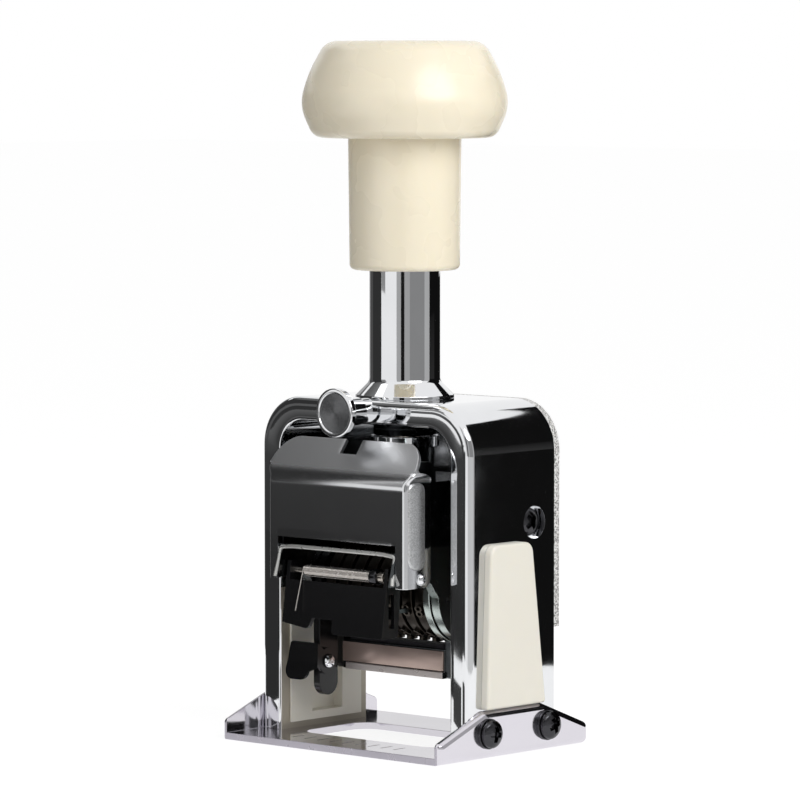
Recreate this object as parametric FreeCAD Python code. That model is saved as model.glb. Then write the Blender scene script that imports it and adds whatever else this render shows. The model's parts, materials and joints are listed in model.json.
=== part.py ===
# Desktop numbering machine: push knob, chrome frame, stepping number wheels, swinging ink pad.
# Lengths in millimetres. Origin at the centre of the base's underside.
# +X to the right, +Y to the back, +Z up the plunger.
import FreeCAD
import Part
import math
import os

os.makedirs("parts", exist_ok=True)

vector = FreeCAD.Vector
origin = vector(0, 0, 0)
axis_x = vector(1, 0, 0)
axis_y = vector(0, 1, 0)
axis_z = vector(0, 0, 1)
overrun = 2.0


# Helpers for outlines, plates, turned pieces and wound wire

def place(plane, along, u, w):
    """A point on a plane square to X, Y or Z, the other two coordinates in X, Y, Z order."""
    if plane == "x":
        return vector(along, u, w)
    if plane == "y":
        return vector(u, along, w)
    return vector(u, w, along)


def outline_face(plane, along, corners):
    """A face from corners (u, w) or (u, w, round radius)."""
    count = len(corners)
    starts = []
    ends = []
    middles = []
    for i in range(count):
        here = place(plane, along, corners[i][0], corners[i][1])
        before = place(plane, along, corners[i - 1][0], corners[i - 1][1])
        after = place(plane, along, corners[(i + 1) % count][0], corners[(i + 1) % count][1])
        radius = corners[i][2] if len(corners[i]) > 2 else 0
        if radius == 0:
            starts.append(here)
            ends.append(here)
            middles.append(None)
            continue
        to_before = (before - here).normalize()
        to_after = (after - here).normalize()
        half = to_before.getAngle(to_after) / 2
        back_off = radius / math.tan(half)
        bisector = (to_before + to_after).normalize()
        starts.append(here + to_before * back_off)
        ends.append(here + to_after * back_off)
        middles.append(here + bisector * (radius / math.sin(half) - radius))
    edges = []
    for i in range(count):
        if middles[i] is not None:
            edges.append(Part.Arc(starts[i], middles[i], ends[i]).toShape())
        follow = starts[(i + 1) % count]
        if ends[i].distanceToPoint(follow) > Part.Vertex(origin).Tolerance:
            edges.append(Part.makeLine(ends[i], follow))
    return Part.Face(Part.Wire(edges))


def plate(plane, low, high, corners):
    """A flat plate between two levels of its plane's axis."""
    return outline_face(plane, low, corners).extrude(place(plane, high - low, 0, 0))


def block(x_low, x_high, y_low, y_high, z_low, z_high):
    return Part.makeBox(x_high - x_low, y_high - y_low, z_high - z_low, vector(x_low, y_low, z_low))


def cylinder(start, axis, radius, length):
    return Part.makeCylinder(radius, length, start, axis)


def turned(profile, axis_point, axis, radial):
    """A solid of revolution from (radius, place along the axis) pairs, three of them for an arc."""
    edges = []

    def at(pair):
        return axis_point + radial * pair[0] + axis * pair[1]

    last = profile[0]
    for step in profile[1:]:
        if isinstance(step[0], tuple):
            edges.append(Part.Arc(at(last), at(step[0]), at(step[1])).toShape())
            last = step[1]
        else:
            edges.append(Part.makeLine(at(last), at(step)))
            last = step
    edges.append(Part.makeLine(at(last), at(profile[0])))
    return Part.Face(Part.Wire(edges)).revolve(axis_point, axis, 360)


def fused(shapes):
    return shapes[0].multiFuse(shapes[1:]).removeSplitter() if len(shapes) > 1 else shapes[0]


def mirrored(shape):
    return shape.mirror(origin, axis_x)


def edges_where(shape, test):
    return [edge for edge in shape.Edges if test(edge)]


def arc_middle(start, tangent, end):
    """The middle point of the arc that leaves start along tangent and meets end."""
    chord = end - start
    along = vector(chord).normalize()
    across = tangent - along * tangent.dot(along)
    angle = math.atan2(across.Length, tangent.dot(along))
    across.normalize()
    return (start + end) * 0.5 + across * (chord.Length / 2 * math.tan(angle / 2))


def biarc(start, start_tangent, end, end_tangent):
    """Two arcs that join two points and keep both tangents."""
    chord = end - start
    both = start_tangent + end_tangent
    bend = 2 * (1 - start_tangent.dot(end_tangent))
    reach = (math.sqrt(chord.dot(both) ** 2 + bend * chord.dot(chord)) - chord.dot(both)) / bend
    first = start + start_tangent * reach
    second = end - end_tangent * reach
    joint = (first + second) * 0.5
    turn = (second - first).normalize()
    return [Part.Arc(start, arc_middle(start, start_tangent, joint), joint).toShape(),
            Part.Arc(joint, arc_middle(joint, turn, end), end).toShape()]


def wound(name, base, axis, radial, hand, mean_radius, wire_radius, length, turns, start_leg):
    """A coil as one unbroken tube, with a straight leg before it, its least gap printed."""
    side = axis.cross(radial) * hand
    rise = length / turns
    slope = rise / (2 * math.pi * mean_radius)

    def at(angle):
        swing = radial * math.cos(angle) + side * math.sin(angle)
        return base + swing * mean_radius + axis * (rise * angle / (2 * math.pi))

    def tangent(angle):
        swing = side * math.cos(angle) - radial * math.sin(angle)
        return (swing + axis * slope).normalize()

    edges = []
    if start_leg > 0:
        edges.append(Part.makeLine(at(0) - tangent(0) * start_leg, at(0)))
    halves = int(turns * 2)
    for i in range(halves):
        low = i * math.pi
        high = low + math.pi
        edges += biarc(at(low), tangent(low), at(high), tangent(high))
    path = Part.Wire(edges)
    first = edges[0].valueAt(edges[0].FirstParameter)
    heading = edges[0].tangentAt(edges[0].FirstParameter)
    ring = Part.Wire(Part.makeCircle(wire_radius, first, heading))
    coil = path.makePipeShell([ring], True, False)
    steps_per_turn = 24
    points = [at(2 * math.pi * i / steps_per_turn) for i in range(int(turns * steps_per_turn) + 1)]
    gap = length
    for i in range(len(points)):
        for j in range(i + steps_per_turn // 2, len(points)):
            gap = min(gap, points[i].distanceToPoint(points[j]) - 2 * wire_radius)
    print(name, "least gap to itself", round(gap, 3), "mm")
    return coil


def save(name, shapes):
    solids = shapes if isinstance(shapes, list) else [shapes]
    shape = solids[0] if len(solids) == 1 else Part.makeCompound(solids)
    if shape.ShapeType != "Solid" and len(shape.Solids) == 1:
        shape = shape.Solids[0]
    shape.exportStep("parts/" + name + ".step")
    print(name, len(shape.Solids), "solid", round(shape.Volume), "mm3", shape.isValid())


# Clearances and fits
body_gap = 0.3
running_gap = 0.05

# Base: a bent channel of sheet with a printing window
base_width = 79.4
base_depth = 61.0
base_sheet = 1.9
flange_height = 12.6
flange_tip_height = 5.5
flange_slope_run = 18.6
flange_tip_round = 1.6
flange_top_round = 1.2
base_bend_radius = 1.8
window_half_width = 25.2
window_front = -15.5
window_rear = 11.6
window_corner = 6.0
tick_width = 0.45
tick_depth = 0.3
tick_length = 4.6
tick_front = -25.0

# Screws that hold the base's flanges to the frame
base_screw_front = -11.1
base_screw_rear = 12.9
base_screw_height = 6.7
base_screw_head_radius = 3.75
base_screw_head_height = 2.5
base_screw_shank = 1.9
base_screw_depth = 4.0
base_washer_radius = 4.1
base_washer_thickness = 0.7
drive_slot_width = 1.1
drive_slot_length = 4.2
drive_slot_depth = 1.3

# Frame: one cast arch
arch_wall = 7.1
arch_top = 93.6
arch_band = 6.4
arch_front = -16.5
arch_rear = 18.0
arch_outer_round = 13.5
arch_inner_round = 8.0
arch_edge_round = 1.9
arch_inner_edge_round = 0.8
arch_outer = base_width / 2 - base_sheet
arch_inner = arch_outer - arch_wall

# Rear cover: a plate over the back of the frame
rear_sheet = 2.2
rear_bottom = 32.6
rear_lug_thickness = 1.5
rear_lug_front = 5.0
rear_screw_reach = 33.2
rear_screw_height = 41.0
rear_screw_head_radius = 3.1
rear_screw_head_height = 2.1
rear_screw_shank = 1.5
rear_screw_depth = 7.0

# Side screws, sunk in the frame and held by the rear cover's lugs
side_screw_place = 9.8
side_screw_height = 61.4
side_sink_radius = 4.4
side_sink_depth = 3.0
side_head_radius = 3.8
side_head_height = 2.3
side_screw_shank = 1.7

# Guides: a cream block through each side of the frame
guide_proud = 2.4
guide_top = 56.6
guide_bottom = flange_height + body_gap
guide_top_front = -10.2
guide_top_rear = 6.6
guide_bottom_front = -11.8
guide_bottom_rear = 12.1
guide_top_round = 3.0
guide_edge_round = 0.8
guide_core_rim = 3.0
guide_inner_proud = 0.7
guide_inner_front = -13.0
guide_inner_rear = 15.4
guide_inner_bottom = 3.6
guide_inner_top = 54.6
pocket_front = -4.5
pocket_rear = 7.6
pocket_bottom = 5.9
pocket_top = 26.0
pocket_depth = 3.4
pocket_wall = 1.2

# Number wheels, their axle and the stroke that prints
stroke = 28.0
paper_gap = 0.2
wheel_count = 8
digit_count = 10
wheel_pitch = 4.6
wheel_radius = 13.6
wheel_drum_radius = 12.7
digit_width = 3.2
digit_height = 3.4
axle_radius = 3.0
axle_height = wheel_radius + stroke + paper_gap
ratchet_radius = 10.6
ratchet_thickness = 0.9
ratchet_step = 1.5
wheel_width = wheel_pitch - body_gap
wheels_half = wheel_count * wheel_pitch / 2 - body_gap / 2

# Ink carriage arms
arm_thickness = 2.3
arm_disc_radius = 13.5
arm_inner = wheels_half + body_gap
arm_outer = arm_inner + arm_thickness

# Head yoke that carries the wheels
cheek_thickness = 2.7
cheek_disc_radius = 13.0
cheek_inner = arm_outer + body_gap
cheek_outer = cheek_inner + cheek_thickness
cheek_rear = 12.0
cheek_column_front = -25.6
cheek_column_rear = -14.2
cheek_column_bottom = 46.0
cheek_column_top = 78.5
cheek_column_round = 3.4
yoke_block_bottom = 60.0
yoke_block_top = 73.0
yoke_block_reach = 10.6
yoke_hub_radius = 8.0
collar_radius = 9.3
collar_bottom = 80.5
nut_radius = 8.5
nut_height = 3.5
nut_notch_count = 36
nut_notch_radius = 0.28
collar_top = arch_top - arch_band - nut_height - body_gap

# Neck tube and its foot
neck_radius = 9.6
neck_bore = 8.1
neck_cone_rise = 4.8
neck_cone_top = arch_top + neck_cone_rise
neck_length = 40.4
neck_top = arch_top + neck_length
neck_shank_radius = 7.0
neck_foot_radius = 13.4
neck_foot_rim = 1.0
spring_seat_rise = 3.4
spring_seat = arch_top + spring_seat_rise

# Plunger rod, sleeve and knob
rod_radius = 4.0
rod_bottom = 62.0
rod_end_rise = 12.2
stop_gap = 1.8
key_floor = 1.6
sleeve_bottom = neck_cone_top + stroke + stop_gap
sleeve_radius = 14.9
sleeve_top_radius = 15.3
sleeve_edge_round = 1.6
sleeve_bore = neck_radius + body_gap
knob_bottom = neck_top + stroke + stop_gap
knob_height = 26.2
machine_height = knob_bottom + knob_height
rod_top = knob_bottom + rod_end_rise
knob_radius = 27.8
knob_lip_radius = 24.9
knob_flat_radius = 17.6
knob_under_radius = 22.4
knob_widest_rise = 8.8
knob_widest = knob_bottom + knob_widest_rise
knob_lip_rise = 1.8
knob_lip_height = knob_bottom + knob_lip_rise
knob_shoulder_radius = 24.6
knob_shoulder_drop = 6.2
knob_shoulder_height = machine_height - knob_shoulder_drop
knob_crown_radius = 21.6
knob_crown_drop = 2.1
knob_crown_height = machine_height - knob_crown_drop

# Return spring in the neck
return_wire = 0.75
return_mean = 6.4
return_turns = 11

# Lock button through the frame's top
lock_drop = 2.7
lock_height = arch_top - lock_drop
lock_front = -28.4
lock_head_radius = 6.6
lock_head_thickness = 2.1
lock_head_crown = 0.25
lock_boss_radius = 3.8
lock_cone_length = 1.4
lock_pin_radius = 1.9
lock_tip_radius = 1.3
lock_travel = 2.4

# Front cover, bent from sheet
cover_sheet = 1.0
cover_front = -27.5
cover_bottom = 45.2
cover_bend = 73.3
cover_top = 83.3
cover_top_place = -20.0
cover_wing_rear = -17.4
cover_wing_top = 75.6
cover_wing_round = 2.4
cover_brow_half = 26.3
cover_brow_height = 75.0
cover_brow_start = 73.4
cover_brow_round = 1.5
cover_bend_round = 0.9
cover_lean_round = 7.0
cover_window_half = 21.3
cover_window_top = 56.6
cover_top_round = 7.2
cover_notch_half = 3.6
cover_notch_floor = 79.6
emboss_rise = 0.5
emboss_front = -26.3
emboss_rear = -19.9
emboss_bottom = 50.2
emboss_top = 73.4
cover_rivet_place = -21.0
cover_rivet_height = 47.4
cover_rivet_radius = 1.7
cover_rivet_rise = 1.0
cover_half = cheek_outer + cover_sheet

# Bracket and rod that carry the pawl block
bracket_top = 54.5
bracket_bar = 0.9
bracket_front = -26.9
bracket_rear = -17.0
bracket_ear_bottom = 45.6
bracket_ear_lean = 2.2
bracket_ear = 1.0
bracket_bar_depth = 3.0
bracket_foot_flare = 2.2
bracket_foot_rise = 6.5
hinge_place = -24.1
hinge_height = 47.5
hinge_radius = 0.9

# Pawl block, a black pressing that swings on the rod
pawl_left = -19.7
pawl_right = 16.9
pawl_sheet = 1.2
pawl_top = 50.0
pawl_top_front = -25.3
pawl_sheet_top = 44.9
pawl_lean = 2.6
pawl_left_bottom = 33.4
pawl_right_bottom = 31.4
pawl_gap_left = -8.8
pawl_gap_right = -1.6
pawl_gap_top = 35.2
pawl_wall_depth = 7.6
pawl_slot_width = 2.2
pawl_slot_bottom = 34.0
pawl_slot_top = 43.0
pawl_corner_round = 1.4
comb_thickness = 1.1
comb_bottom = 36.0
comb_top = 38.6
comb_place = -20.6
comb_finger_width = 1.3
comb_tip_place = -15.0

# Torsion spring round the rod
torsion_wire = 0.25
torsion_mean = 1.5
torsion_left = -13.8
torsion_length = 24.0
torsion_turns = 24
torsion_leg = 11.4
torsion_leg_angle = 16.0

# Ink carriage: tray, pad and the left arm's front limb
tray_front = -4.5
tray_rear = 3.5
tray_bottom = 18.9
tray_wall = 1.1
tray_top = 26.8
tray_rim_top = 20.7
tray_rim_proud = 1.0
tray_rim_left = -16.8
limb_front = -13.9
limb_rear = -6.7
limb_end_height = 15.6

# Finger lever riveted to the left arm
lever_sheet = 0.9
lever_pivot_place = -11.8
lever_pivot_height = 21.5
lever_ear_radius = 3.6
lever_pin_radius = 1.2
lever_rivet_radius = 1.9
lever_rivet_rise = 1.1
lever_bend_place = -15.9
lever_left = -29.5
lever_top_left = -27.4
lever_top = 26.6
lever_neck_bottom = 20.0
lever_knee_height = 21.0
lever_knee_place = -16.1
lever_tip_place = -16.8
lever_tip_height = 16.3
lever_tip_round = 2.5


# Base and its fasteners

def make_base():
    half = base_width / 2
    depth = base_depth / 2
    side = [(-depth, 0), (depth, 0, flange_tip_round), (depth, flange_tip_height, flange_tip_round),
            (depth - flange_slope_run, flange_height, flange_top_round),
            (flange_slope_run - depth, flange_height, flange_top_round),
            (-depth, flange_tip_height, flange_tip_round)]
    channel = plate("x", -half, half, side)
    inside = block(base_sheet - half, half - base_sheet, -half - overrun, half + overrun,
                   base_sheet, flange_height + overrun)
    shape = channel.cut(inside)
    window = [(-window_half_width, window_front, window_corner),
              (window_half_width, window_front, window_corner),
              (window_half_width, window_rear, window_corner),
              (-window_half_width, window_rear, window_corner)]
    shape = shape.cut(plate("z", -overrun, base_sheet + overrun, window))
    low_bends = edges_where(shape, lambda e: e.BoundBox.ZMax < flange_tip_round / 2
                            and e.BoundBox.XLength < flange_tip_round / 2
                            and abs(abs(e.BoundBox.Center.x) - half) < flange_tip_round / 2
                            and e.Length > depth)
    shape = shape.makeFillet(base_bend_radius, low_bends)
    for k in range(wheel_count + 1):
        x = (k - wheel_count / 2) * wheel_pitch
        shape = shape.cut(block(x - tick_width / 2, x + tick_width / 2, tick_front,
                                tick_front + tick_length,
                                base_sheet - tick_depth, base_sheet + tick_depth))
    holes = [cylinder(vector(side_sign * (half + overrun), y, base_screw_height), axis_x * -side_sign,
                      base_screw_shank, base_sheet + overrun * 2)
             for side_sign in (-1, 1) for y in (base_screw_front, base_screw_rear)]
    return shape.cut(fused(holes))


dome_mid_share = 0.72
dome_rise_share = 0.78
dome_flat_share = 0.1


def dome(radius, rise):
    """The end of a turned profile: an arc up to a small flat on the axis."""
    return [((radius * dome_mid_share, rise * dome_rise_share), (radius * dome_flat_share, rise)),
            (0, rise)]


def pan_screw(seat, outward, across, head_radius, head_height, shank_radius, depth):
    """A domed cross-slot screw: seat is where the head's underside meets its work."""
    profile = [(0, -depth), (shank_radius, -depth), (shank_radius, 0), (head_radius, 0),
               (head_radius, head_height / 4)] + dome(head_radius, head_height)
    shape = turned(profile, seat, outward, across)
    third = outward.cross(across)
    for one, other in ((across, third), (third, across)):
        corner = seat + outward * (head_height - drive_slot_depth)
        corner = corner - one * (drive_slot_length / 2) - other * (drive_slot_width / 2)
        arms = [one * drive_slot_length, other * drive_slot_width]
        floor = Part.Face(Part.makePolygon([corner, corner + arms[0], corner + arms[0] + arms[1],
                                            corner + arms[1], corner]))
        shape = shape.cut(floor.extrude(outward * (drive_slot_depth + overrun)))
    return shape


def make_base_screws():
    seat = base_width / 2 + base_washer_thickness
    screws = []
    for sign in (-1, 1):
        for y in (base_screw_front, base_screw_rear):
            screws.append(pan_screw(vector(sign * seat, y, base_screw_height), axis_x * sign, axis_z,
                                    base_screw_head_radius, base_screw_head_height, base_screw_shank,
                                    base_screw_depth + base_sheet + base_washer_thickness))
    return screws


def make_base_washers():
    washers = []
    for sign in (-1, 1):
        for y in (base_screw_front, base_screw_rear):
            seat = vector(sign * base_width / 2, y, base_screw_height)
            disc = cylinder(seat, axis_x * sign, base_washer_radius, base_washer_thickness)
            washers.append(disc.cut(cylinder(seat - axis_x * (sign * overrun), axis_x * sign,
                                             base_screw_shank, base_washer_thickness + overrun * 2)))
    return washers


# Frame, rear cover and their screws

def arch_outline(reach, bottom, top, corner):
    return [(-reach, bottom), (reach, bottom), (reach, top, corner), (-reach, top, corner)]


def guide_window():
    rim = guide_core_rim
    return [(guide_bottom_front + rim, guide_bottom + rim), (guide_bottom_rear - rim, guide_bottom + rim),
            (guide_top_rear - rim, guide_top - rim, guide_top_round),
            (guide_top_front + rim, guide_top - rim, guide_top_round)]


def pocket_lining(start):
    """The block round the guide's pocket, sunk in the frame's wall."""
    return block(arch_inner - start, arch_inner + pocket_depth + pocket_wall, pocket_front - pocket_wall,
                 pocket_rear + pocket_wall, pocket_bottom - pocket_wall, pocket_top)


def make_frame_arch():
    outer = plate("y", arch_front, arch_rear, arch_outline(arch_outer, base_sheet, arch_top,
                                                           arch_outer_round))
    inner = plate("y", arch_front - overrun, arch_rear + overrun,
                  arch_outline(arch_inner, -overrun, arch_top - arch_band, arch_inner_round))

    def front_edges(solid, inside):
        return edges_where(solid, lambda e: abs(e.BoundBox.YMin - arch_front) < arch_edge_round / 10
                           and abs(e.BoundBox.YMax - arch_front) < arch_edge_round / 10
                           and e.BoundBox.ZMax > base_sheet + arch_edge_round
                           and (not inside or e.BoundBox.XMax < arch_inner + body_gap
                                and e.BoundBox.XMin > -arch_inner - body_gap))

    outer = outer.makeFillet(arch_edge_round, front_edges(outer, False))
    shape = outer.cut(inner)
    shape = shape.makeFillet(arch_inner_edge_round, front_edges(shape, True))
    for sign in (-1, 1):
        opening = plate("x", arch_inner - overrun, arch_outer + overrun, guide_window())
        sink = cylinder(vector(arch_outer - side_sink_depth, side_screw_place, side_screw_height), axis_x,
                        side_sink_radius, side_sink_depth + overrun)
        shank = cylinder(vector(arch_inner - overrun, side_screw_place, side_screw_height), axis_x,
                         side_screw_shank, arch_wall + overrun)
        cutters = [opening, sink, shank, pocket_lining(overrun)]
        for y in (base_screw_front, base_screw_rear):
            cutters.append(cylinder(vector(arch_outer - base_screw_depth, y, base_screw_height), axis_x,
                                    base_screw_shank, base_screw_depth + overrun))
        for cutter in cutters:
            shape = shape.cut(cutter if sign > 0 else mirrored(cutter))
        shape = shape.cut(cylinder(vector(sign * rear_screw_reach, arch_rear + overrun, rear_screw_height),
                                   -axis_y,
                                   rear_screw_shank, rear_screw_depth + overrun))
    shape = shape.cut(cylinder(vector(0, 0, arch_top - arch_band - overrun), axis_z, neck_shank_radius,
                               arch_band + overrun * 2))
    return shape.cut(cylinder(vector(0, arch_front - overrun, lock_height), axis_y,
                              lock_pin_radius + running_gap, -arch_front + overrun - neck_shank_radius / 2))


def make_rear_cover():
    cover = plate("y", arch_rear, arch_rear + rear_sheet,
                  arch_outline(arch_outer, rear_bottom, arch_top, arch_outer_round))
    lug_half = side_sink_radius + rear_lug_thickness
    pieces = [cover]
    for sign in (-1, 1):
        lug = plate("x", arch_inner - rear_lug_thickness, arch_inner,
                    [(rear_lug_front, side_screw_height - lug_half, rear_lug_thickness),
                     (arch_rear, side_screw_height - lug_half),
                     (arch_rear, side_screw_height + lug_half),
                     (rear_lug_front, side_screw_height + lug_half, rear_lug_thickness)])
        pieces.append(lug if sign > 0 else mirrored(lug))
    shape = fused(pieces)
    for sign in (-1, 1):
        shape = shape.cut(cylinder(vector(sign * (arch_inner - rear_lug_thickness - overrun),
                                          side_screw_place,
                                          side_screw_height), axis_x * sign, side_screw_shank,
                                   rear_lug_thickness + overrun * 2))
        shape = shape.cut(cylinder(vector(sign * rear_screw_reach, arch_rear - overrun, rear_screw_height),
                                   axis_y,
                                   rear_screw_shank, rear_sheet + overrun * 2))
    return shape


def make_side_screws():
    seat = arch_outer - side_sink_depth
    depth = seat - arch_inner + rear_lug_thickness
    return [pan_screw(vector(sign * seat, side_screw_place, side_screw_height), axis_x * sign, axis_z,
                      side_head_radius, side_head_height, side_screw_shank, depth) for sign in (-1, 1)]


def make_rear_screws():
    return [pan_screw(vector(sign * rear_screw_reach, arch_rear + rear_sheet, rear_screw_height), axis_y,
                      axis_z,
                      rear_screw_head_radius, rear_screw_head_height, rear_screw_shank,
                      rear_screw_depth + rear_sheet) for sign in (-1, 1)]


# Guides

def make_right_guide():
    outer = plate("x", arch_outer, arch_outer + guide_proud,
                  [(guide_bottom_front, guide_bottom, guide_edge_round),
                   (guide_bottom_rear, guide_bottom, guide_edge_round),
                   (guide_top_rear, guide_top, guide_top_round),
                   (guide_top_front, guide_top, guide_top_round)])
    rim = edges_where(outer, lambda e: e.BoundBox.XMin > arch_outer + guide_proud / 2)
    outer = outer.makeFillet(guide_edge_round, rim)
    core = plate("x", arch_inner, arch_outer, guide_window())
    inner_face = arch_inner - guide_inner_proud
    inner = plate("x", inner_face, arch_inner,
                  [(guide_inner_front, guide_inner_bottom), (guide_inner_rear, guide_inner_bottom),
                   (guide_inner_rear, guide_inner_top), (guide_inner_front, guide_inner_top)])
    shape = fused([outer, core, inner, pocket_lining(0)])
    return shape.cut(block(inner_face - overrun, inner_face + pocket_depth, pocket_front, pocket_rear,
                           pocket_bottom, pocket_top))


# Neck, nut and lock button

def make_neck_tube():
    foot = arch_top + neck_foot_rim
    profile = [(rod_radius + running_gap, arch_top - arch_band - nut_height),
               (neck_shank_radius, arch_top - arch_band - nut_height),
               (neck_shank_radius, arch_top), (neck_foot_radius, arch_top), (neck_foot_radius, foot),
               (neck_radius, neck_cone_top), (neck_radius, neck_top), (neck_bore, neck_top),
               (neck_bore, spring_seat), (rod_radius + running_gap, spring_seat)]
    shape = turned(profile, origin, axis_z, axis_x)
    return shape.cut(cylinder(vector(0, -neck_shank_radius - overrun, lock_height), axis_y,
                              lock_pin_radius + running_gap, neck_shank_radius + overrun))


def make_neck_nut():
    low = arch_top - arch_band - nut_height
    shape = cylinder(vector(0, 0, low), axis_z, nut_radius, nut_height)
    shape = shape.cut(cylinder(vector(0, 0, low - overrun), axis_z, neck_shank_radius,
                               nut_height + overrun * 2))
    notches = []
    for k in range(nut_notch_count):
        turn = 2 * math.pi * k / nut_notch_count
        spot = vector(nut_radius * math.cos(turn), nut_radius * math.sin(turn), low - overrun)
        notches.append(Part.makePolygon([spot + vector(nut_notch_radius * math.cos(turn + corner),
                                                       nut_notch_radius * math.sin(turn + corner), 0)
                                         for corner in notch_corners]))
    tools = [Part.Face(notch).extrude(axis_z * (nut_height + overrun * 2)) for notch in notches]
    return shape.cut(Part.makeCompound(tools))


notch_corners = [math.pi * 2 / 3 * step for step in (0, 1, 2, 3)]


def make_lock_button():
    shoulder = arch_front - lock_travel - body_gap
    pin_end = -rod_radius - lock_travel - body_gap * 2
    tip_end = -key_floor - lock_travel - body_gap
    head_back = lock_front + lock_head_thickness
    profile = [(0, lock_front), (lock_head_radius * dome_flat_share, lock_front),
               ((lock_head_radius * button_mid_share, lock_front + lock_head_crown / 4),
                (lock_head_radius - lock_head_crown, lock_front + lock_head_crown)),
               (lock_head_radius, lock_front + lock_head_crown * 2), (lock_head_radius, head_back),
               (lock_boss_radius, head_back + lock_cone_length), (lock_boss_radius, shoulder),
               (lock_pin_radius, shoulder), (lock_pin_radius, pin_end), (lock_tip_radius, pin_end),
               (lock_tip_radius, tip_end), (0, tip_end)]
    return turned(profile, vector(0, 0, lock_height), axis_y, axis_x)


button_mid_share = 0.6


# Plunger: rod, collar, sleeve, knob and spring

def make_plunger_rod():
    shape = cylinder(vector(0, 0, rod_bottom), axis_z, rod_radius, rod_top - rod_bottom)
    key_bottom = lock_height - lock_pin_radius - running_gap
    return shape.cut(block(-rod_radius - overrun, rod_radius + overrun, -rod_radius - overrun, -key_floor,
                           key_bottom, key_bottom + 2 * (lock_pin_radius + running_gap) + stroke))


def make_head_collar():
    shape = cylinder(vector(0, 0, collar_bottom), axis_z, collar_radius, collar_top - collar_bottom)
    return shape.cut(cylinder(vector(0, 0, collar_bottom - overrun), axis_z, rod_radius,
                              collar_top - collar_bottom + overrun * 2))


def make_knob_sleeve():
    profile = [(sleeve_bore, sleeve_bottom), (sleeve_radius - sleeve_edge_round, sleeve_bottom),
               ((sleeve_radius - sleeve_edge_round * (1 - math.sqrt(0.5)),
                 sleeve_bottom + sleeve_edge_round * (1 - math.sqrt(0.5))),
                (sleeve_radius, sleeve_bottom + sleeve_edge_round)),
               (sleeve_top_radius, knob_bottom), (sleeve_bore, knob_bottom)]
    return turned(profile, origin, axis_z, axis_x)


def make_knob():
    profile = [(0, knob_bottom), (knob_under_radius, knob_bottom),
               ((knob_lip_radius - (knob_lip_radius - knob_under_radius) * knob_lip_share,
                 knob_bottom + (knob_lip_height - knob_bottom) * knob_lip_share),
                (knob_lip_radius, knob_lip_height)),
               ((knob_radius - (knob_radius - knob_lip_radius) * knob_belly_share,
                 knob_lip_height + (knob_widest - knob_lip_height) * knob_belly_rise_share),
                (knob_radius, knob_widest)),
               ((knob_radius - (knob_radius - knob_shoulder_radius) * knob_cheek_share,
                 knob_widest + (knob_shoulder_height - knob_widest) * knob_cheek_rise_share),
                (knob_shoulder_radius, knob_shoulder_height)),
               ((knob_crown_radius + (knob_shoulder_radius - knob_crown_radius) * knob_brow_share,
                 (knob_shoulder_height + knob_crown_height) / 2),
                (knob_crown_radius, knob_crown_height)),
               ((knob_flat_radius + (knob_crown_radius - knob_flat_radius) * knob_brow_share,
                 machine_height - (machine_height - knob_crown_height) * knob_top_share),
                (knob_flat_radius, machine_height)),
               (0, machine_height)]
    shape = turned(profile, origin, axis_z, axis_x)
    return shape.cut(cylinder(vector(0, 0, knob_bottom - overrun), axis_z, rod_radius,
                              rod_top - knob_bottom + overrun))


knob_lip_share = 0.28
knob_belly_share = 0.3
knob_belly_rise_share = 0.448
knob_cheek_share = 0.28
knob_cheek_rise_share = 0.54
knob_brow_share = 0.56
knob_top_share = 0.34


def make_return_spring():
    low = spring_seat + return_wire + body_gap
    length = knob_bottom - body_gap - return_wire - low
    return wound("return_spring", vector(0, 0, low), axis_z, axis_x, 1, return_mean, return_wire, length,
                 return_turns, 0)


# Head: yoke, axle, cover and rivets

def make_head_yoke():
    column = [(cheek_column_front, cheek_column_bottom), (cheek_column_rear, cheek_column_bottom),
              (cheek_column_rear, cheek_column_top, cheek_column_round),
              (cheek_column_front, cheek_column_top, cheek_column_round)]
    web = [(cheek_column_rear - overrun, cheek_column_bottom), (-cheek_disc_radius, axle_height),
           (cheek_rear, axle_height), (cheek_rear, yoke_block_top),
           (cheek_column_rear - overrun, yoke_block_top)]
    cheek = fused([plate("x", cheek_inner, cheek_outer, column), plate("x", cheek_inner, cheek_outer, web),
                   cylinder(vector(cheek_inner, 0, axle_height), axis_x, cheek_disc_radius,
                            cheek_thickness)])
    lean = cover_lean_cutter()
    cheek = cheek.cut(lean)
    bridge = block(-cheek_outer, cheek_outer, -yoke_block_reach, yoke_block_reach, yoke_block_bottom,
                   yoke_block_top)
    hub = cylinder(vector(0, 0, yoke_block_bottom), axis_z, yoke_hub_radius,
                   collar_bottom - yoke_block_bottom)
    shape = fused([cheek, mirrored(cheek), bridge, hub])
    shape = shape.cut(cylinder(vector(0, 0, rod_bottom), axis_z, rod_radius,
                               collar_bottom - rod_bottom + overrun))
    shape = shape.cut(cylinder(vector(-cheek_outer - overrun, 0, axle_height), axis_x, axle_radius,
                               2 * (cheek_outer + overrun)))
    for sign in (-1, 1):
        shape = shape.cut(cylinder(vector(sign * (cheek_inner - overrun), cover_rivet_place,
                                          cover_rivet_height),
                                   axis_x * sign, cover_rivet_radius / 2, cheek_thickness + overrun * 2))
    return shape


def cover_lean_cutter():
    """What lies in front of the leaning panel's inner face."""
    rise = cover_top - cover_bend
    run = cover_top_place - cover_front
    inset = cover_sheet * math.hypot(rise, run) / rise
    far = rise * 2
    return plate("x", -base_width, base_width,
                 [(cover_front + inset + body_gap / 10, cover_bend),
                  (cover_front + inset + run * 2, cover_bend + far),
                  (cover_front - far, cover_bend + far), (cover_front - far, cover_bend)])


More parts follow.
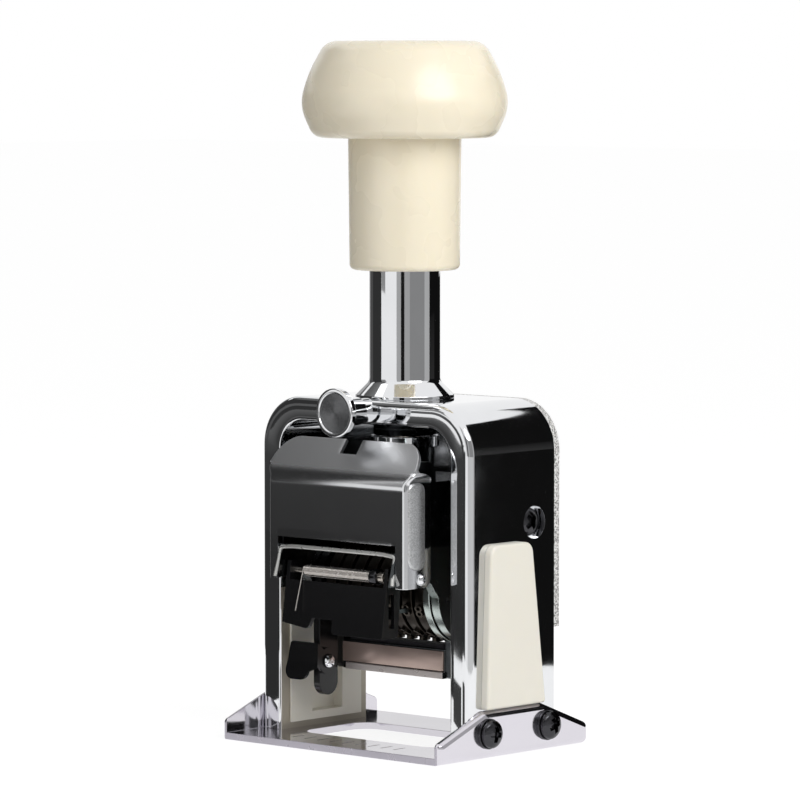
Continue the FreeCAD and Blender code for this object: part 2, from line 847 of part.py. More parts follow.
def make_wheel_axle():
    length = cover_half * 2
    shape = cylinder(vector(-cover_half, 0, axle_height), axis_x, axle_radius, length)
    return shape.makeChamfer(body_gap, edges_where(shape, lambda e: e.BoundBox.XLength < body_gap))


def make_front_cover():
    rise = cover_top - cover_bend
    run = cover_top_place - cover_front
    inset = cover_sheet * math.hypot(rise, run) / rise
    inner_bend = cover_bend - cover_sheet * math.tan(math.atan2(run, rise) / 2)
    wing_top_place = cover_front + (cover_wing_top - cover_bend) * run / rise
    wing = plate("x", cheek_outer, cover_half,
                 [(cover_front, cover_bottom), (cover_front, cover_bend, cover_lean_round),
                  (wing_top_place, cover_wing_top), (cover_wing_rear, cover_wing_top, cover_wing_round),
                  (cover_wing_rear, cover_bottom, cover_wing_round)])
    panel = plate("x", -cover_brow_half, cover_brow_half,
                  [(cover_front, cover_bottom), (cover_front, cover_bend, cover_lean_round),
                   (cover_top_place, cover_top), (cover_top_place + inset, cover_top),
                   (cover_front + cover_sheet, inner_bend, cover_lean_round - cover_sheet),
                   (cover_front + cover_sheet, cover_bottom)])
    silhouette = [(-cover_half, cover_bottom), (-cover_window_half, cover_bottom),
                  (-cover_window_half, cover_window_top), (cover_window_half, cover_window_top),
                  (cover_window_half, cover_bottom), (cover_half, cover_bottom),
                  (cover_half, cover_brow_start, cover_brow_round),
                  (cover_brow_half, cover_brow_height, cover_brow_round),
                  (cover_brow_half, cover_top, cover_top_round), (cover_notch_half, cover_top, cover_sheet),
                  (cover_notch_half, cover_notch_floor, cover_sheet),
                  (-cover_notch_half, cover_notch_floor, cover_sheet),
                  (-cover_notch_half, cover_top, cover_sheet),
                  (-cover_brow_half, cover_top, cover_top_round),
                  (-cover_brow_half, cover_brow_height, cover_brow_round),
                  (-cover_half, cover_brow_start, cover_brow_round)]
    panel = panel.common(plate("y", cover_front - overrun, cover_top_place + rise, silhouette))
    shape = fused([wing, mirrored(wing), panel])
    lean_start = cover_bend - cover_lean_round * math.tan(math.atan2(run, rise) / 2)
    below = block(-base_width, base_width, -base_width, base_width, 0, lean_start)
    low = shape.common(below)
    bends = edges_where(low, lambda e: abs(e.BoundBox.YMin - cover_front) < cover_sheet / 10
                        and e.BoundBox.YLength < cover_sheet / 10
                        and abs(abs(e.BoundBox.Center.x) - cover_half) < cover_sheet / 10
                        and e.Length > cover_sheet * 2)
    shape = fused([low.makeFillet(cover_bend_round, bends), shape.cut(below)])
    pads = []
    for sign in (-1, 1):
        half_round = (emboss_rear - emboss_front) / 2
        pad = plate("x", cover_half - cover_sheet / 2, cover_half + emboss_rise,
                    [(emboss_front, emboss_bottom, half_round),
                     (emboss_rear, emboss_bottom, half_round * pad_corner_share),
                     (emboss_rear, emboss_top, half_round * pad_corner_share),
                     (emboss_front, emboss_top, half_round * pad_corner_share)])
        top_edges = edges_where(pad, lambda e: e.BoundBox.XMin > cover_half)
        pad = pad.makeFillet(emboss_rise * pad_edge_share, top_edges)
        pads.append(pad if sign > 0 else mirrored(pad))
    shape = fused([shape] + pads)
    for sign in (-1, 1):
        shape = shape.cut(cylinder(vector(sign * (cheek_outer - overrun), cover_rivet_place,
                                          cover_rivet_height),
                                   axis_x * sign, cover_rivet_radius / 2, cover_sheet + overrun * 2))
    return shape


pad_corner_share = 0.75
pad_edge_share = 0.9


def make_cover_rivets():
    rivets = []
    for sign in (-1, 1):
        seat = vector(sign * cover_half, cover_rivet_place, cover_rivet_height)
        depth = cover_sheet + cheek_thickness
        profile = [(0, -depth), (cover_rivet_radius / 2, -depth), (cover_rivet_radius / 2, 0),
                   (cover_rivet_radius, 0)] + dome(cover_rivet_radius, cover_rivet_rise)
        rivets.append(turned(profile, seat, axis_x * sign, axis_z))
    return rivets


# Number wheels

def make_number_wheel(index):
    """A drum with raised digit blocks round its rim and a ten-tooth ratchet on its left side."""
    left = index * wheel_pitch - wheels_half
    drum_left = left + ratchet_thickness
    drum_width = wheel_width - ratchet_thickness
    pieces = [cylinder(vector(drum_left, 0, axle_height), axis_x, wheel_drum_radius, drum_width)]
    middle = drum_left + drum_width / 2
    digit_top = math.sqrt(wheel_radius ** 2 - (digit_height / 2) ** 2)
    teeth = []
    for k in range(digit_count):
        turn = 360 * k / digit_count
        digit = block(middle - digit_width / 2, middle + digit_width / 2, -digit_height / 2,
                      digit_height / 2,
                      axle_height - digit_top, axle_height - ratchet_radius)
        digit.rotate(vector(0, 0, axle_height), axis_x, turn)
        pieces.append(digit)
        for radius, lead in ((ratchet_radius, 0), (ratchet_radius - ratchet_step, 1)):
            angle = 2 * math.pi * (k + lead) / digit_count
            teeth.append(vector(left, radius * math.sin(angle), axle_height - radius * math.cos(angle)))
    ratchet = Part.Face(Part.makePolygon(teeth + [teeth[0]]))
    pieces.append(ratchet.extrude(axis_x * (ratchet_thickness + digit_width / 2)))
    shape = fused(pieces)
    return shape.cut(cylinder(vector(left - overrun, 0, axle_height), axis_x, axle_radius + running_gap,
                              wheel_width + overrun * 2))


# Bracket, hinge rod, pawl block and torsion spring

def make_rod_bracket():
    ear = plate("x", cheek_inner - bracket_ear, cheek_inner,
                [(bracket_front - bracket_ear_lean, bracket_ear_bottom), (bracket_rear, bracket_ear_bottom),
                 (bracket_rear, bracket_top), (bracket_front, bracket_top)])
    foot = plate("y", bracket_front, bracket_front + bracket_bar,
                 [(cheek_inner - bracket_ear, bracket_ear_bottom + bracket_foot_rise),
                  (cheek_inner - bracket_ear - bracket_foot_flare, bracket_ear_bottom),
                  (cheek_inner, bracket_ear_bottom), (cheek_inner, bracket_ear_bottom + bracket_foot_rise)])
    bar = block(-cheek_inner, cheek_inner, bracket_front, bracket_front + bracket_bar_depth,
                bracket_top - bracket_bar, bracket_top)
    shape = fused([ear, foot, bar, mirrored(ear)])
    corners = edges_where(shape, lambda e: e.BoundBox.ZMin > bracket_top - bracket_bar / 10
                          and e.BoundBox.XLength < bracket_bar / 10
                          and abs(abs(e.BoundBox.Center.x) - cheek_inner) < bracket_bar / 10
                          and e.BoundBox.YMax < bracket_front + bracket_bar_depth + bracket_bar)
    if corners:
        shape = shape.makeFillet(bracket_bar * bracket_round_share, corners)
    return shape.cut(cylinder(vector(-base_width, hinge_place, hinge_height), axis_x, hinge_radius,
                              base_width * 2))


bracket_round_share = 0.8


def make_hinge_rod():
    return cylinder(vector(-cheek_inner, hinge_place, hinge_height), axis_x, hinge_radius, cheek_inner * 2)


def make_pawl_block():
    low_front = pawl_top_front - pawl_lean
    lowest = pawl_right_bottom - overrun
    slant = (pawl_top - lowest)
    lean = pawl_lean * slant / (pawl_top - pawl_right_bottom)
    sheet = plate("x", pawl_left, pawl_right,
                  [(pawl_top_front, pawl_top), (pawl_top_front - lean, lowest),
                   (pawl_top_front - lean + pawl_sheet, lowest), (pawl_top_front + pawl_sheet, pawl_top)])
    front = [(pawl_left, pawl_sheet_top), (pawl_left, pawl_left_bottom, pawl_corner_round),
             (pawl_gap_left - pawl_corner_round, pawl_left_bottom - pawl_sheet, pawl_corner_round),
             (pawl_gap_left, pawl_gap_top), (pawl_gap_right, pawl_gap_top),
             (pawl_gap_right, pawl_right_bottom, pawl_sheet), (pawl_right, pawl_right_bottom, pawl_sheet),
             (pawl_right, pawl_sheet_top)]
    sheet = sheet.common(plate("y", low_front - pawl_wall_depth, pawl_top_front + pawl_wall_depth, front))
    wall_rear = low_front + pawl_wall_depth
    pieces = [sheet]
    for left, bottom in ((pawl_left, pawl_left_bottom), (pawl_right - pawl_sheet, pawl_right_bottom)):
        share = (pawl_top - bottom) / (pawl_top - pawl_right_bottom)
        wall = plate("x", left, left + pawl_sheet,
                     [(pawl_top_front, pawl_top), (pawl_top_front - pawl_lean * share, bottom),
                      (wall_rear - pawl_sheet, bottom, pawl_sheet),
                      (wall_rear, hinge_height, pawl_corner_round),
                      (wall_rear, pawl_top, pawl_corner_round)])
        pieces.append(wall)
    shape = fused(pieces)
    slot_middle = (low_front + wall_rear) / 2
    slot = block(pawl_right - pawl_sheet - overrun, pawl_right + overrun, slot_middle - pawl_slot_width / 2,
                 slot_middle + pawl_slot_width / 2, pawl_slot_bottom, pawl_slot_top)
    shape = shape.cut(slot)
    return shape.cut(cylinder(vector(pawl_left - overrun, hinge_place, hinge_height), axis_x,
                              hinge_radius + running_gap, pawl_right - pawl_left + overrun * 2))


def make_pawl_comb():
    left = pawl_left + pawl_sheet
    right = pawl_right - pawl_sheet
    bar = block(left, right, comb_place - comb_thickness, comb_place, comb_bottom, comb_top)
    pieces = [bar]
    for k in range(wheel_count):
        middle = k * wheel_pitch - wheels_half + ratchet_thickness / 2
        if middle - comb_finger_width / 2 < left:
            middle = left + comb_finger_width / 2
        pieces.append(block(middle - comb_finger_width / 2, middle + comb_finger_width / 2,
                            comb_place, comb_tip_place, comb_top - comb_thickness, comb_top))
    return fused(pieces)


def make_torsion_spring():
    lean = math.radians(torsion_leg_angle)
    radial = axis_z * math.sin(lean) - axis_y * math.cos(lean)
    return wound("torsion_spring", vector(torsion_left, hinge_place, hinge_height), axis_x, radial, -1,
                 torsion_mean, torsion_wire, torsion_length, torsion_turns, torsion_leg)


# Ink carriage

def make_pad_arm(sign):
    inner = arm_inner if sign > 0 else -arm_outer
    outer = arm_outer if sign > 0 else -arm_inner
    bar = [(tray_front, axle_height), (tray_front, tray_bottom, tray_wall),
           (tray_rear, tray_bottom, tray_wall),
           (tray_rear, axle_height)]
    pieces = [cylinder(vector(inner, 0, axle_height), axis_x, arm_disc_radius, arm_thickness),
              plate("x", inner, outer, bar)]
    if sign < 0:
        end_radius = (limb_rear - limb_front) / 2
        pieces.append(plate("x", inner, outer,
                            [(limb_front, axle_height), (limb_front, limb_end_height),
                             (limb_rear, limb_end_height),
                             (limb_rear, axle_height)]))
        pieces.append(cylinder(vector(inner, (limb_front + limb_rear) / 2, limb_end_height), axis_x,
                               end_radius,
                               arm_thickness))
    shape = fused(pieces)
    shape = shape.cut(cylinder(vector(inner - overrun, 0, axle_height), axis_x, axle_radius + running_gap,
                               arm_thickness + overrun * 2))
    if sign < 0:
        shape = shape.cut(cylinder(vector(inner - overrun, lever_pivot_place, lever_pivot_height), axis_x,
                                   lever_pin_radius, arm_thickness + overrun * 2))
    return shape


def make_pad_tray():
    shape = block(-arm_inner, arm_inner, tray_front, tray_rear, tray_bottom, tray_top)
    shape = shape.cut(block(tray_wall - arm_inner, arm_inner - tray_wall, tray_front + tray_wall,
                            tray_rear - tray_wall, tray_bottom + tray_wall, tray_top + overrun))
    rim = block(tray_rim_left, arm_inner, tray_front - tray_rim_proud, tray_front, tray_bottom,
                tray_rim_top)
    return fused([shape, rim])


def make_ink_pad():
    side = tray_wall + body_gap
    shape = block(side - arm_inner, arm_inner - side, tray_front + side, tray_rear - side,
                  tray_bottom + tray_wall + body_gap, axle_height - wheel_radius - body_gap)
    return shape.makeFillet(tray_wall / 2, edges_where(shape, lambda e: e.BoundBox.ZMin > tray_top))


def make_finger_lever():
    """Ear on the right of the left arm, a neck round the arm's front, and a tab that flares forward."""
    ear_left = body_gap - arm_inner
    ear_right = ear_left + lever_sheet
    ear = fused([cylinder(vector(ear_left, lever_pivot_place, lever_pivot_height), axis_x, lever_ear_radius,
                          lever_sheet),
                 plate("x", ear_left, ear_right,
                       [(lever_bend_place, lever_neck_bottom),
                        (lever_pivot_place, lever_pivot_height - lever_ear_radius / 2),
                        (lever_pivot_place, lever_pivot_height + lever_ear_radius / 2),
                        (lever_bend_place, lever_top)])])
    tab_profile = [(lever_bend_place, lever_top), (lever_knee_place, lever_knee_height),
                   (lever_tip_place, lever_tip_height), (lever_tip_place + lever_sheet, lever_tip_height),
                   (lever_knee_place + lever_sheet, lever_knee_height),
                   (lever_bend_place + lever_sheet, lever_top)]
    tab = plate("x", lever_left, ear_right, tab_profile)
    arm_left = -arm_outer
    shape_outline = [(lever_top_left, lever_top, lever_sheet),
                     (ear_right, lever_top, lever_sheet),
                     (ear_right, lever_neck_bottom), (arm_left, lever_knee_height - lever_tip_round),
                     (arm_left, lever_tip_height, lever_tip_round),
                     (lever_left, lever_tip_height, lever_tip_round)]
    tab = tab.common(plate("y", lever_tip_place - overrun, lever_bend_place + overrun, shape_outline))
    shape = fused([ear, tab])
    return shape.cut(cylinder(vector(ear_left - overrun, lever_pivot_place, lever_pivot_height), axis_x,
                              lever_pin_radius + running_gap, lever_sheet + overrun * 2))


def make_lever_rivet():
    seat = body_gap - arm_inner + lever_sheet + body_gap
    depth = seat + arm_outer
    profile = [(0, -depth), (lever_pin_radius, -depth), (lever_pin_radius, 0),
               (lever_rivet_radius, 0)] + dome(lever_rivet_radius, lever_rivet_rise)
    return turned(profile, vector(seat, lever_pivot_place, lever_pivot_height), axis_x, axis_z)


save("base_plate", make_base())
save("base_screws", make_base_screws())
save("base_washers", make_base_washers())
save("frame_arch", make_frame_arch())
save("rear_cover", make_rear_cover())
save("side_screws", make_side_screws())
save("rear_screws", make_rear_screws())
right_guide = make_right_guide()
save("right_guide", right_guide)
save("left_guide", mirrored(right_guide))
save("neck_tube", make_neck_tube())
save("neck_nut", make_neck_nut())
save("lock_button", make_lock_button())
save("plunger_rod", make_plunger_rod())
save("head_collar", make_head_collar())
save("knob_sleeve", make_knob_sleeve())
save("knob", make_knob())
save("return_spring", make_return_spring())
save("head_yoke", make_head_yoke())
save("wheel_axle", make_wheel_axle())
save("front_cover", make_front_cover())
save("cover_rivets", make_cover_rivets())
for wheel_index in range(wheel_count):
    save("number_wheel_" + str(wheel_index + 1), make_number_wheel(wheel_index))
save("rod_bracket", make_rod_bracket())
save("hinge_rod", make_hinge_rod())
save("pawl_block", make_pawl_block())
save("pawl_comb", make_pawl_comb())
save("torsion_spring", make_torsion_spring())
save("left_pad_arm", make_pad_arm(-1))
save("right_pad_arm", make_pad_arm(1))
save("pad_tray", make_pad_tray())
save("ink_pad", make_ink_pad())
save("finger_lever", make_finger_lever())
save("lever_rivet", make_lever_rivet())
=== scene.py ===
import json
import math
import bpy
import bmesh
import numpy as np
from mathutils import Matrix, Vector


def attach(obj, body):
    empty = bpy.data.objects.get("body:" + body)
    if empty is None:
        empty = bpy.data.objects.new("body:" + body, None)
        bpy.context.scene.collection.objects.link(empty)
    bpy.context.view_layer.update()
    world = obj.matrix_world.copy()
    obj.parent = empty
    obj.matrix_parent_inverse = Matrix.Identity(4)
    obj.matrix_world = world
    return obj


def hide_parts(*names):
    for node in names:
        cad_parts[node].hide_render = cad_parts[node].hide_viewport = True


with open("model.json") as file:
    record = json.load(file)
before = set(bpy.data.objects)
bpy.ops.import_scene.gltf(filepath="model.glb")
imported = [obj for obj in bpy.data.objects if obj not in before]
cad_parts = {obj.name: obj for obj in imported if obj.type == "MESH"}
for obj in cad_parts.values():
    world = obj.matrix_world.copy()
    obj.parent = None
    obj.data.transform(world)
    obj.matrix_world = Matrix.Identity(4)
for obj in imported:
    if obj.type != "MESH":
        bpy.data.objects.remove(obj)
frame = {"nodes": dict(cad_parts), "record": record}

print("desktop numbering machine: frame loaded")
nodes = frame["nodes"]
bodies = frame["record"]["behaviour"]["bodies"]
bodyOf = {node: body for body, members in bodies.items() for node in members}
slotOf = {part["node"]: part["material_slot"] for part in frame["record"]["subparts"]}
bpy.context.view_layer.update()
mm = 0.001
origin = (0, 0, 0)
alongX, alongY, alongZ = (1, 0, 0), (0, 1, 0), (0, 0, 1)


# Camera and studio

camera = {"azimuth": 42.0, "pitch": 4.095, "distance": 1353.0, "side": -1.28, "height": 92.87,
          "lens": 225.0, "sensor": 36, "clip": (0.05, 50)}


def placeFacing(name, data, spot, back):
    # a camera or lamp at a spot in metres that looks the other way from back
    obj = bpy.data.objects.new(name, data)
    bpy.context.scene.collection.objects.link(obj)
    obj.location = spot
    obj.rotation_mode = "QUATERNION"
    obj.rotation_quaternion = (-back).to_track_quat("-Z", "Y")
    return obj


def makeCamera(c):
    a, p = math.radians(c["azimuth"]), math.radians(c["pitch"])
    back = Vector((math.sin(a) * math.cos(p), -math.cos(a) * math.cos(p), math.sin(p)))
    right = Vector((math.cos(a), math.sin(a), 0))
    spot = Vector((0, 0, c["height"] * mm)) + right * c["side"] * mm + back * c["distance"] * mm
    data = bpy.data.cameras.new("camera")
    data.lens = c["lens"]
    data.sensor_width = c["sensor"]
    data.clip_start, data.clip_end = c["clip"]
    bpy.context.scene.camera = placeFacing("camera", data, spot, back)


def linear(text):
    # sRGB hex to linear: the low end divided by 12.92, the rest a power of 2.4
    value = np.array([int(text[i:i + 2], 16) for i in (1, 3, 5)]) / 255
    value = np.where(value <= 0.04045, value / 12.92, ((value + 0.055) / 1.055) ** 2.4)
    return (*[float(v) for v in value], 1.0)


def addNode(tree, kind, settings=None, links=None):
    # adds a node, with values for its sockets or properties, and links into its sockets
    node = tree.nodes.new(kind)
    for key, value in (settings or {}).items():
        if isinstance(key, int) or key in node.inputs:
            node.inputs[key].default_value = value
        else:
            setattr(node, key, value)
    for key, source in (links or {}).items():
        tree.links.new(source, node.inputs[key])
    return node


def addRange(tree, source, start, end, low, high):
    # start to end of the source become low to high
    limits = {"From Min": start, "From Max": end, "To Min": low, "To Max": high}
    return addNode(tree, "ShaderNodeMapRange", limits, {"Value": source}).outputs[0]


def addNoise(tree, place, size, settings):
    # noise in object space whose lumps are about size mm wide
    return addNode(tree, "ShaderNodeTexNoise", {"Scale": 1 / (size * mm), **settings},
                   {"Vector": place.outputs["Object"]}).outputs["Fac"]


def addBump(tree, height, depth, under=None):
    # a bump of a depth in mm, over another one if there is one
    links = {"Height": height, "Normal": under} if under else {"Height": height}
    return addNode(tree, "ShaderNodeBump", {"Strength": 1.0, "Distance": depth * mm}, links).outputs[0]


def mixShaders(tree, share, first, second):
    # the first shader where the share is 0, the second where it is 1
    return addNode(tree, "ShaderNodeMixShader", links={0: share, 1: first.outputs[0], 2: second.outputs[0]})


def newMaterial(name):
    material = bpy.data.materials.new(name)
    material.use_nodes = True
    material.node_tree.nodes.clear()
    return material, material.node_tree


def showShader(tree, shader):
    # the shader a material ends in
    addNode(tree, "ShaderNodeOutputMaterial", links={"Surface": shader.outputs[0]})


# Surfaces

def unit(vectors):
    # each row scaled to length 1, with nothing divided by zero
    return vectors / np.maximum(np.linalg.norm(vectors, axis=1, keepdims=True), 1e-9)


def joined(*axes):
    # coordinates spread over one grid and joined into points
    return np.stack(np.broadcast_arrays(*axes), -1)


def crossAxes(axis):
    # an axis along X, Y or Z with the two square to it
    axis = np.array(axis, float)
    across = np.roll(np.abs(axis), 1)
    return axis, across, np.cross(axis, across)


def rounded(corners, steps=10):
    # a line through corners (u, w, radius), each corner an arc that touches both sides: it starts and ends
    # radius / tan(half the corner's angle) from the corner and swings evenly round its centre
    data = np.array([(*c, 0.0)[:3] for c in corners], float)
    p, radius = data[:, :2], data[:, 2:]
    before, after = unit(np.roll(p, 1, 0) - p), unit(np.roll(p, -1, 0) - p)
    straight = 0.99999
    half = np.arccos(np.clip(np.sum(before * after, 1, keepdims=True), -straight, straight)) / 2
    centre = p + unit(before + after) * radius / np.sin(half)
    start = p + before * radius / np.tan(half) - centre
    end = p + after * radius / np.tan(half) - centre
    t = np.linspace(0, 1, steps)[None, :, None]
    turn = (math.pi - 2 * half)[:, :, None]
    swing = start[:, None] * np.sin((1 - t) * turn) + end[:, None] * np.sin(t * turn)
    arc = centre[:, None] + swing / np.sin(turn)
    points = np.where(radius[:, :, None] > 0, arc, p[:, None]).reshape(-1, 2)
    least = 1e-7
    apart = np.linalg.norm(np.diff(points, axis=0), axis=1) > least
    return points[np.r_[True, apart]]


def grid(points, closeU=False, closeV=False):
    # the quads between each four neighbours of a grid of points, ends joined where it closes
    nu, nv = points.shape[:2]
    u = np.arange(nu if closeU else nu - 1)[:, None]
    v = np.arange(nv if closeV else nv - 1)[None, :]
    u2, v2 = (u + 1) % nu, (v + 1) % nv
    quads = joined(u * nv + v, u2 * nv + v, u2 * nv + v2, u * nv + v2).reshape(-1, 4)
    return points.reshape(-1, 3) * mm, quads.tolist()


def turned(profile, centre, axis, count=128, closed=False):
    # points (radius, height) swung round an axis: centre + height * axis + radius * (cos, sin) across it;
    # a radius may also change with the angle, as one row of radii for each height
    axis, across, third = crossAxes(axis)
    radius, height = [np.asarray(v, float) for v in profile]
    radius = radius[:, None] if radius.ndim == 1 else radius
    angle = np.arange(count) * 2 * np.pi / count
    spin = np.cos(angle)[:, None] * across + np.sin(angle)[:, None] * third
    points = np.array(centre, float) + height[:, None, None] * axis + radius[..., None] * spin[None]
    return grid(points, closed, True)


def tube(path, radius, side, count=12):
    # a ring round each point of a path, square to it, with both ends closed on the path
    way = unit(np.gradient(path, axis=0))
    out = unit(np.cross(way, np.array(side, float)))
    over = np.cross(out, way)
    angle = np.arange(count) * 2 * np.pi / count
    ring = np.cos(angle)[None, :, None] * out[:, None] + np.sin(angle)[None, :, None] * over[:, None]
    rows = path[:, None] + radius * ring
    ends = [np.repeat(path[i][None, None], count, 1) for i in (0, -1)]
    return grid(np.concatenate([ends[0], rows, ends[1]]), False, True)


def prism(outline, low, high, plane, edge=0.0, steps=4):
    # an outline raised from low to high along its plane's axis; at both ends its rim draws in along a
    # quarter circle: edge * (1 - cos) inwards while it rises edge * sin
    following = np.roll(outline, -1, 0) - np.roll(outline, 1, 0)
    normal = unit(np.stack([following[:, 1], -following[:, 0]], 1))
    area = np.sum(outline[:, 0] * np.roll(outline[:, 1], -1) - outline[:, 1] * np.roll(outline[:, 0], -1))
    normal *= -np.sign(area)
    t = np.linspace(0, np.pi / 2, steps if edge else 1)
    inset, lift = edge * (1 - np.cos(t)), edge * np.sin(t)
    inset = np.concatenate([inset[::-1], inset])
    level = np.concatenate([low + edge - lift[::-1], high - edge + lift])
    flat = outline[None] + normal[None] * inset[:, None, None]
    order = {"y": (0, 2, 1), "z": (0, 1, 2)}[plane]
    level = np.broadcast_to(level[:, None, None], (*flat.shape[:2], 1))
    vertices, quads = grid(np.concatenate([flat, level], 2)[..., order], False, True)
    count = len(outline)
    caps = [list(range(count)), list(range(len(vertices) - count, len(vertices)))]
    return vertices, quads + caps


def shifted(parts):
    # several pieces as one list of points and faces
    faces, start = [], 0
    for vertices, quads in parts:
        faces += [[i + start for i in face] for face in quads]
        start += len(vertices)
    return np.concatenate([part[0] for part in parts]), faces


def cleaned(mesh, merge, shortest):
    # a working copy of a mesh whose points fall together within merge, without edges under shortest, in m
    work = bmesh.new()
    work.from_mesh(mesh)
    bmesh.ops.remove_doubles(work, verts=work.verts, dist=merge)
    bmesh.ops.dissolve_degenerate(work, edges=work.edges, dist=shortest)
    return work


def meshPiece(name, parts, sharp=40, outward=True):
    # one object from one or more surfaces: points that fall together are merged, faces turned outwards, and
    # edges steeper than the sharp angle stay sharp
    vertices, faces = shifted(parts)
    mesh = bpy.data.meshes.new(name)
    mesh.from_pydata(vertices.tolist(), [], faces)
    work = cleaned(mesh, merge=1e-7, shortest=1e-8)
    if outward:
        bmesh.ops.recalc_face_normals(work, faces=work.faces)
    work.to_mesh(mesh)
    work.free()
    mesh.set_sharp_from_angle(angle=math.radians(sharp))
    obj = bpy.data.objects.new(name, mesh)
    bpy.context.scene.collection.objects.link(obj)
    return obj


# the cards: from and to in degrees from +X, distance, bottom and top in mm, grey at the bottom and at the top
cards = [
    (247, 286, 230, 0, 250, (0.98, 0.98)),
    (232, 247, 230, 81, 122, (0.98, 0.98)),
    (232, 247, 230, 122, 250, (0.3, 0.2)),
    (286, 300, 230, 0, 250, (0.42, 0.42)),
    (300, 311, 230, 0, 190, (0.01, 0.01)),
    (311, 328, 230, 0, 190, (0.40, 0.40)),
    (328, 378, 230, 0, 190, (0.27, 0.27)),
    (18, 37.7, 230, 0, 190, (0.46, 0.46)),
    (264, 300, 222, 0, 72, (0.96, 0.96)),
    (300, 378, 222, 0, 72, (0.66, 0.60)),
    (37.7, 98, 215, 0, 265, (0.006, 0.006)),
    (98, 118, 215, 0, 120, (0.006, 0.006)),
    (38, 62, 212, 76, 112, (0.035, 0.012)),
    (248, 284, 62, 0.5, 13, (0.06, 0.05)),
    (188, 232, 185, 81, 215, (0.035, 0.035)),
    (188, 262, 185, 4, 66, (0.025, 0.045)),
    (188, 262, 185, 66, 81, (0.05, 0.12)),
    (198, 236, 105, 0.5, 50, (0.03, 0.03)),
    (175, 238, 190, 215, 330, (0.10, 0.2)),
    (118, 150, 420, 0, 80, (0.8, 0.8)),
    (150, 163, 230, 0, 210, (0.42, 0.42)),
    (163, 188, 230, 0, 210, (0.08, 0.08)),
]
cardKeys = ("from", "to", "distance", "low", "high", "grey")
cardSteps = {"around": 25, "up": 5}
# the floor's half width and place in mm; its greys where it lights, where it is seen and what it glows with;
# the world's strength where it lights and where it is seen
studio = {"floorHalf": 6000, "floorPlace": -0.2, "floorLit": 0.8, "floorSeen": 0.28, "floorGlow": 0.84,
          "worldLit": 0.54, "worldSeen": 1.0}


def stageCard(index, c):
    # a card bent round the object: angle along it, height up it, and its brightness changes with height
    angle = np.radians(np.linspace(c["from"], c["to"], cardSteps["around"]))[:, None]
    height = np.linspace(c["low"], c["high"], cardSteps["up"])[None, :]
    points = joined(c["distance"] * np.cos(angle), c["distance"] * np.sin(angle), height)
    card = meshPiece("studioCard%02d" % index, [grid(points)])
    material, tree = newMaterial("studioCard%02d" % index)
    place = addNode(tree, "ShaderNodeTexCoord")
    parts = addNode(tree, "ShaderNodeSeparateXYZ", links={0: place.outputs["Object"]})
    grey = addRange(tree, parts.outputs["Z"], c["low"] * mm, c["high"] * mm, *c["grey"])
    showShader(tree, addNode(tree, "ShaderNodeEmission", links={"Color": grey}))
    card.data.materials.append(material)
    card.visible_camera = False
    card.visible_diffuse = False
    card.visible_shadow = False


def seenRays(tree):
    # 1 for the rays of the camera, of mirrors and of clear materials, 0 for those that only light
    path = addNode(tree, "ShaderNodeLightPath")
    seen = addNode(tree, "ShaderNodeMath", {"operation": "MAXIMUM"},
                   {0: path.outputs["Is Camera Ray"], 1: path.outputs["Is Glossy Ray"]})
    return addNode(tree, "ShaderNodeMath", {"operation": "MAXIMUM"},
                   {0: seen.outputs[0], 1: path.outputs["Is Transmission Ray"]}).outputs[0]


def makeFloor(c):
    material, tree = newMaterial("studioFloor")
    lit, thin = [addNode(tree, "ShaderNodeBsdfDiffuse", {"Color": (c[key], c[key], c[key], 1)})
                 for key in ("floorLit", "floorSeen")]
    glow = addNode(tree, "ShaderNodeEmission", {"Color": (1, 1, 1, 1), "Strength": c["floorGlow"]})
    both = addNode(tree, "ShaderNodeAddShader", links={0: thin.outputs[0], 1: glow.outputs[0]})
    showShader(tree, mixShaders(tree, seenRays(tree), lit, both))
    side = np.linspace(-c["floorHalf"], c["floorHalf"], 3)
    floor = meshPiece("studioFloor", [grid(joined(side[:, None], side[None, :], c["floorPlace"]))])
    if floor.data.polygons[0].normal.z < 0:
        floor.data.flip_normals()
    floor.data.materials.append(material)


def makeWorld(c):
    world = bpy.data.worlds.new("studio")
    bpy.context.scene.world = world
    world.use_nodes = True
    tree = world.node_tree
    tree.nodes.clear()
    soft, white = [addNode(tree, "ShaderNodeBackground", {"Color": (1, 1, 1, 1), "Strength": c[key]})
                   for key in ("worldLit", "worldSeen")]
    mixed = mixShaders(tree, seenRays(tree), soft, white)
    addNode(tree, "ShaderNodeOutputWorld", links={"Surface": mixed.outputs[0]})


# azimuth and rise in degrees, distance and size in m, all aimed at a point on the axis
lamps = {
    "key": {"azimuth": -11, "rise": 30, "distance": 0.75, "size": (0.56, 0.56), "power": 3.25},
    "fill": {"azimuth": 200, "rise": 50, "distance": 0.9, "size": (0.5, 0.4), "power": 0.3},
}
lampTarget = (0, 0, 0.11)


def makeLamp(name, c):
    a, e = math.radians(c["azimuth"]), math.radians(c["rise"])
    way = Vector((math.cos(a) * math.cos(e), math.sin(a) * math.cos(e), math.sin(e)))
    data = bpy.data.lights.new(name, "AREA")
    data.shape = "ELLIPSE"
    data.size, data.size_y = c["size"]
    data.energy = c["power"]
    placeFacing(name, data, Vector(lampTarget) + way * c["distance"], way)


makeCamera(camera)
makeFloor(studio)
makeWorld(studio)
for cardIndex, cardRow in enumerate(cards):
    stageCard(cardIndex, dict(zip(cardKeys, cardRow)))
for lampName, lampData in lamps.items():
    makeLamp(lampName, lampData)
bpy.context.scene.view_settings.view_transform = "Standard"
print("camera and studio made")


# Finishes: the colour, roughness from clean to cloudy, waves and grain as bumps with their size and depth in
# mm, and how much metal; some add cloud, which is how far the tint darkens, and brushed or speckle, which
# makeFinish explains

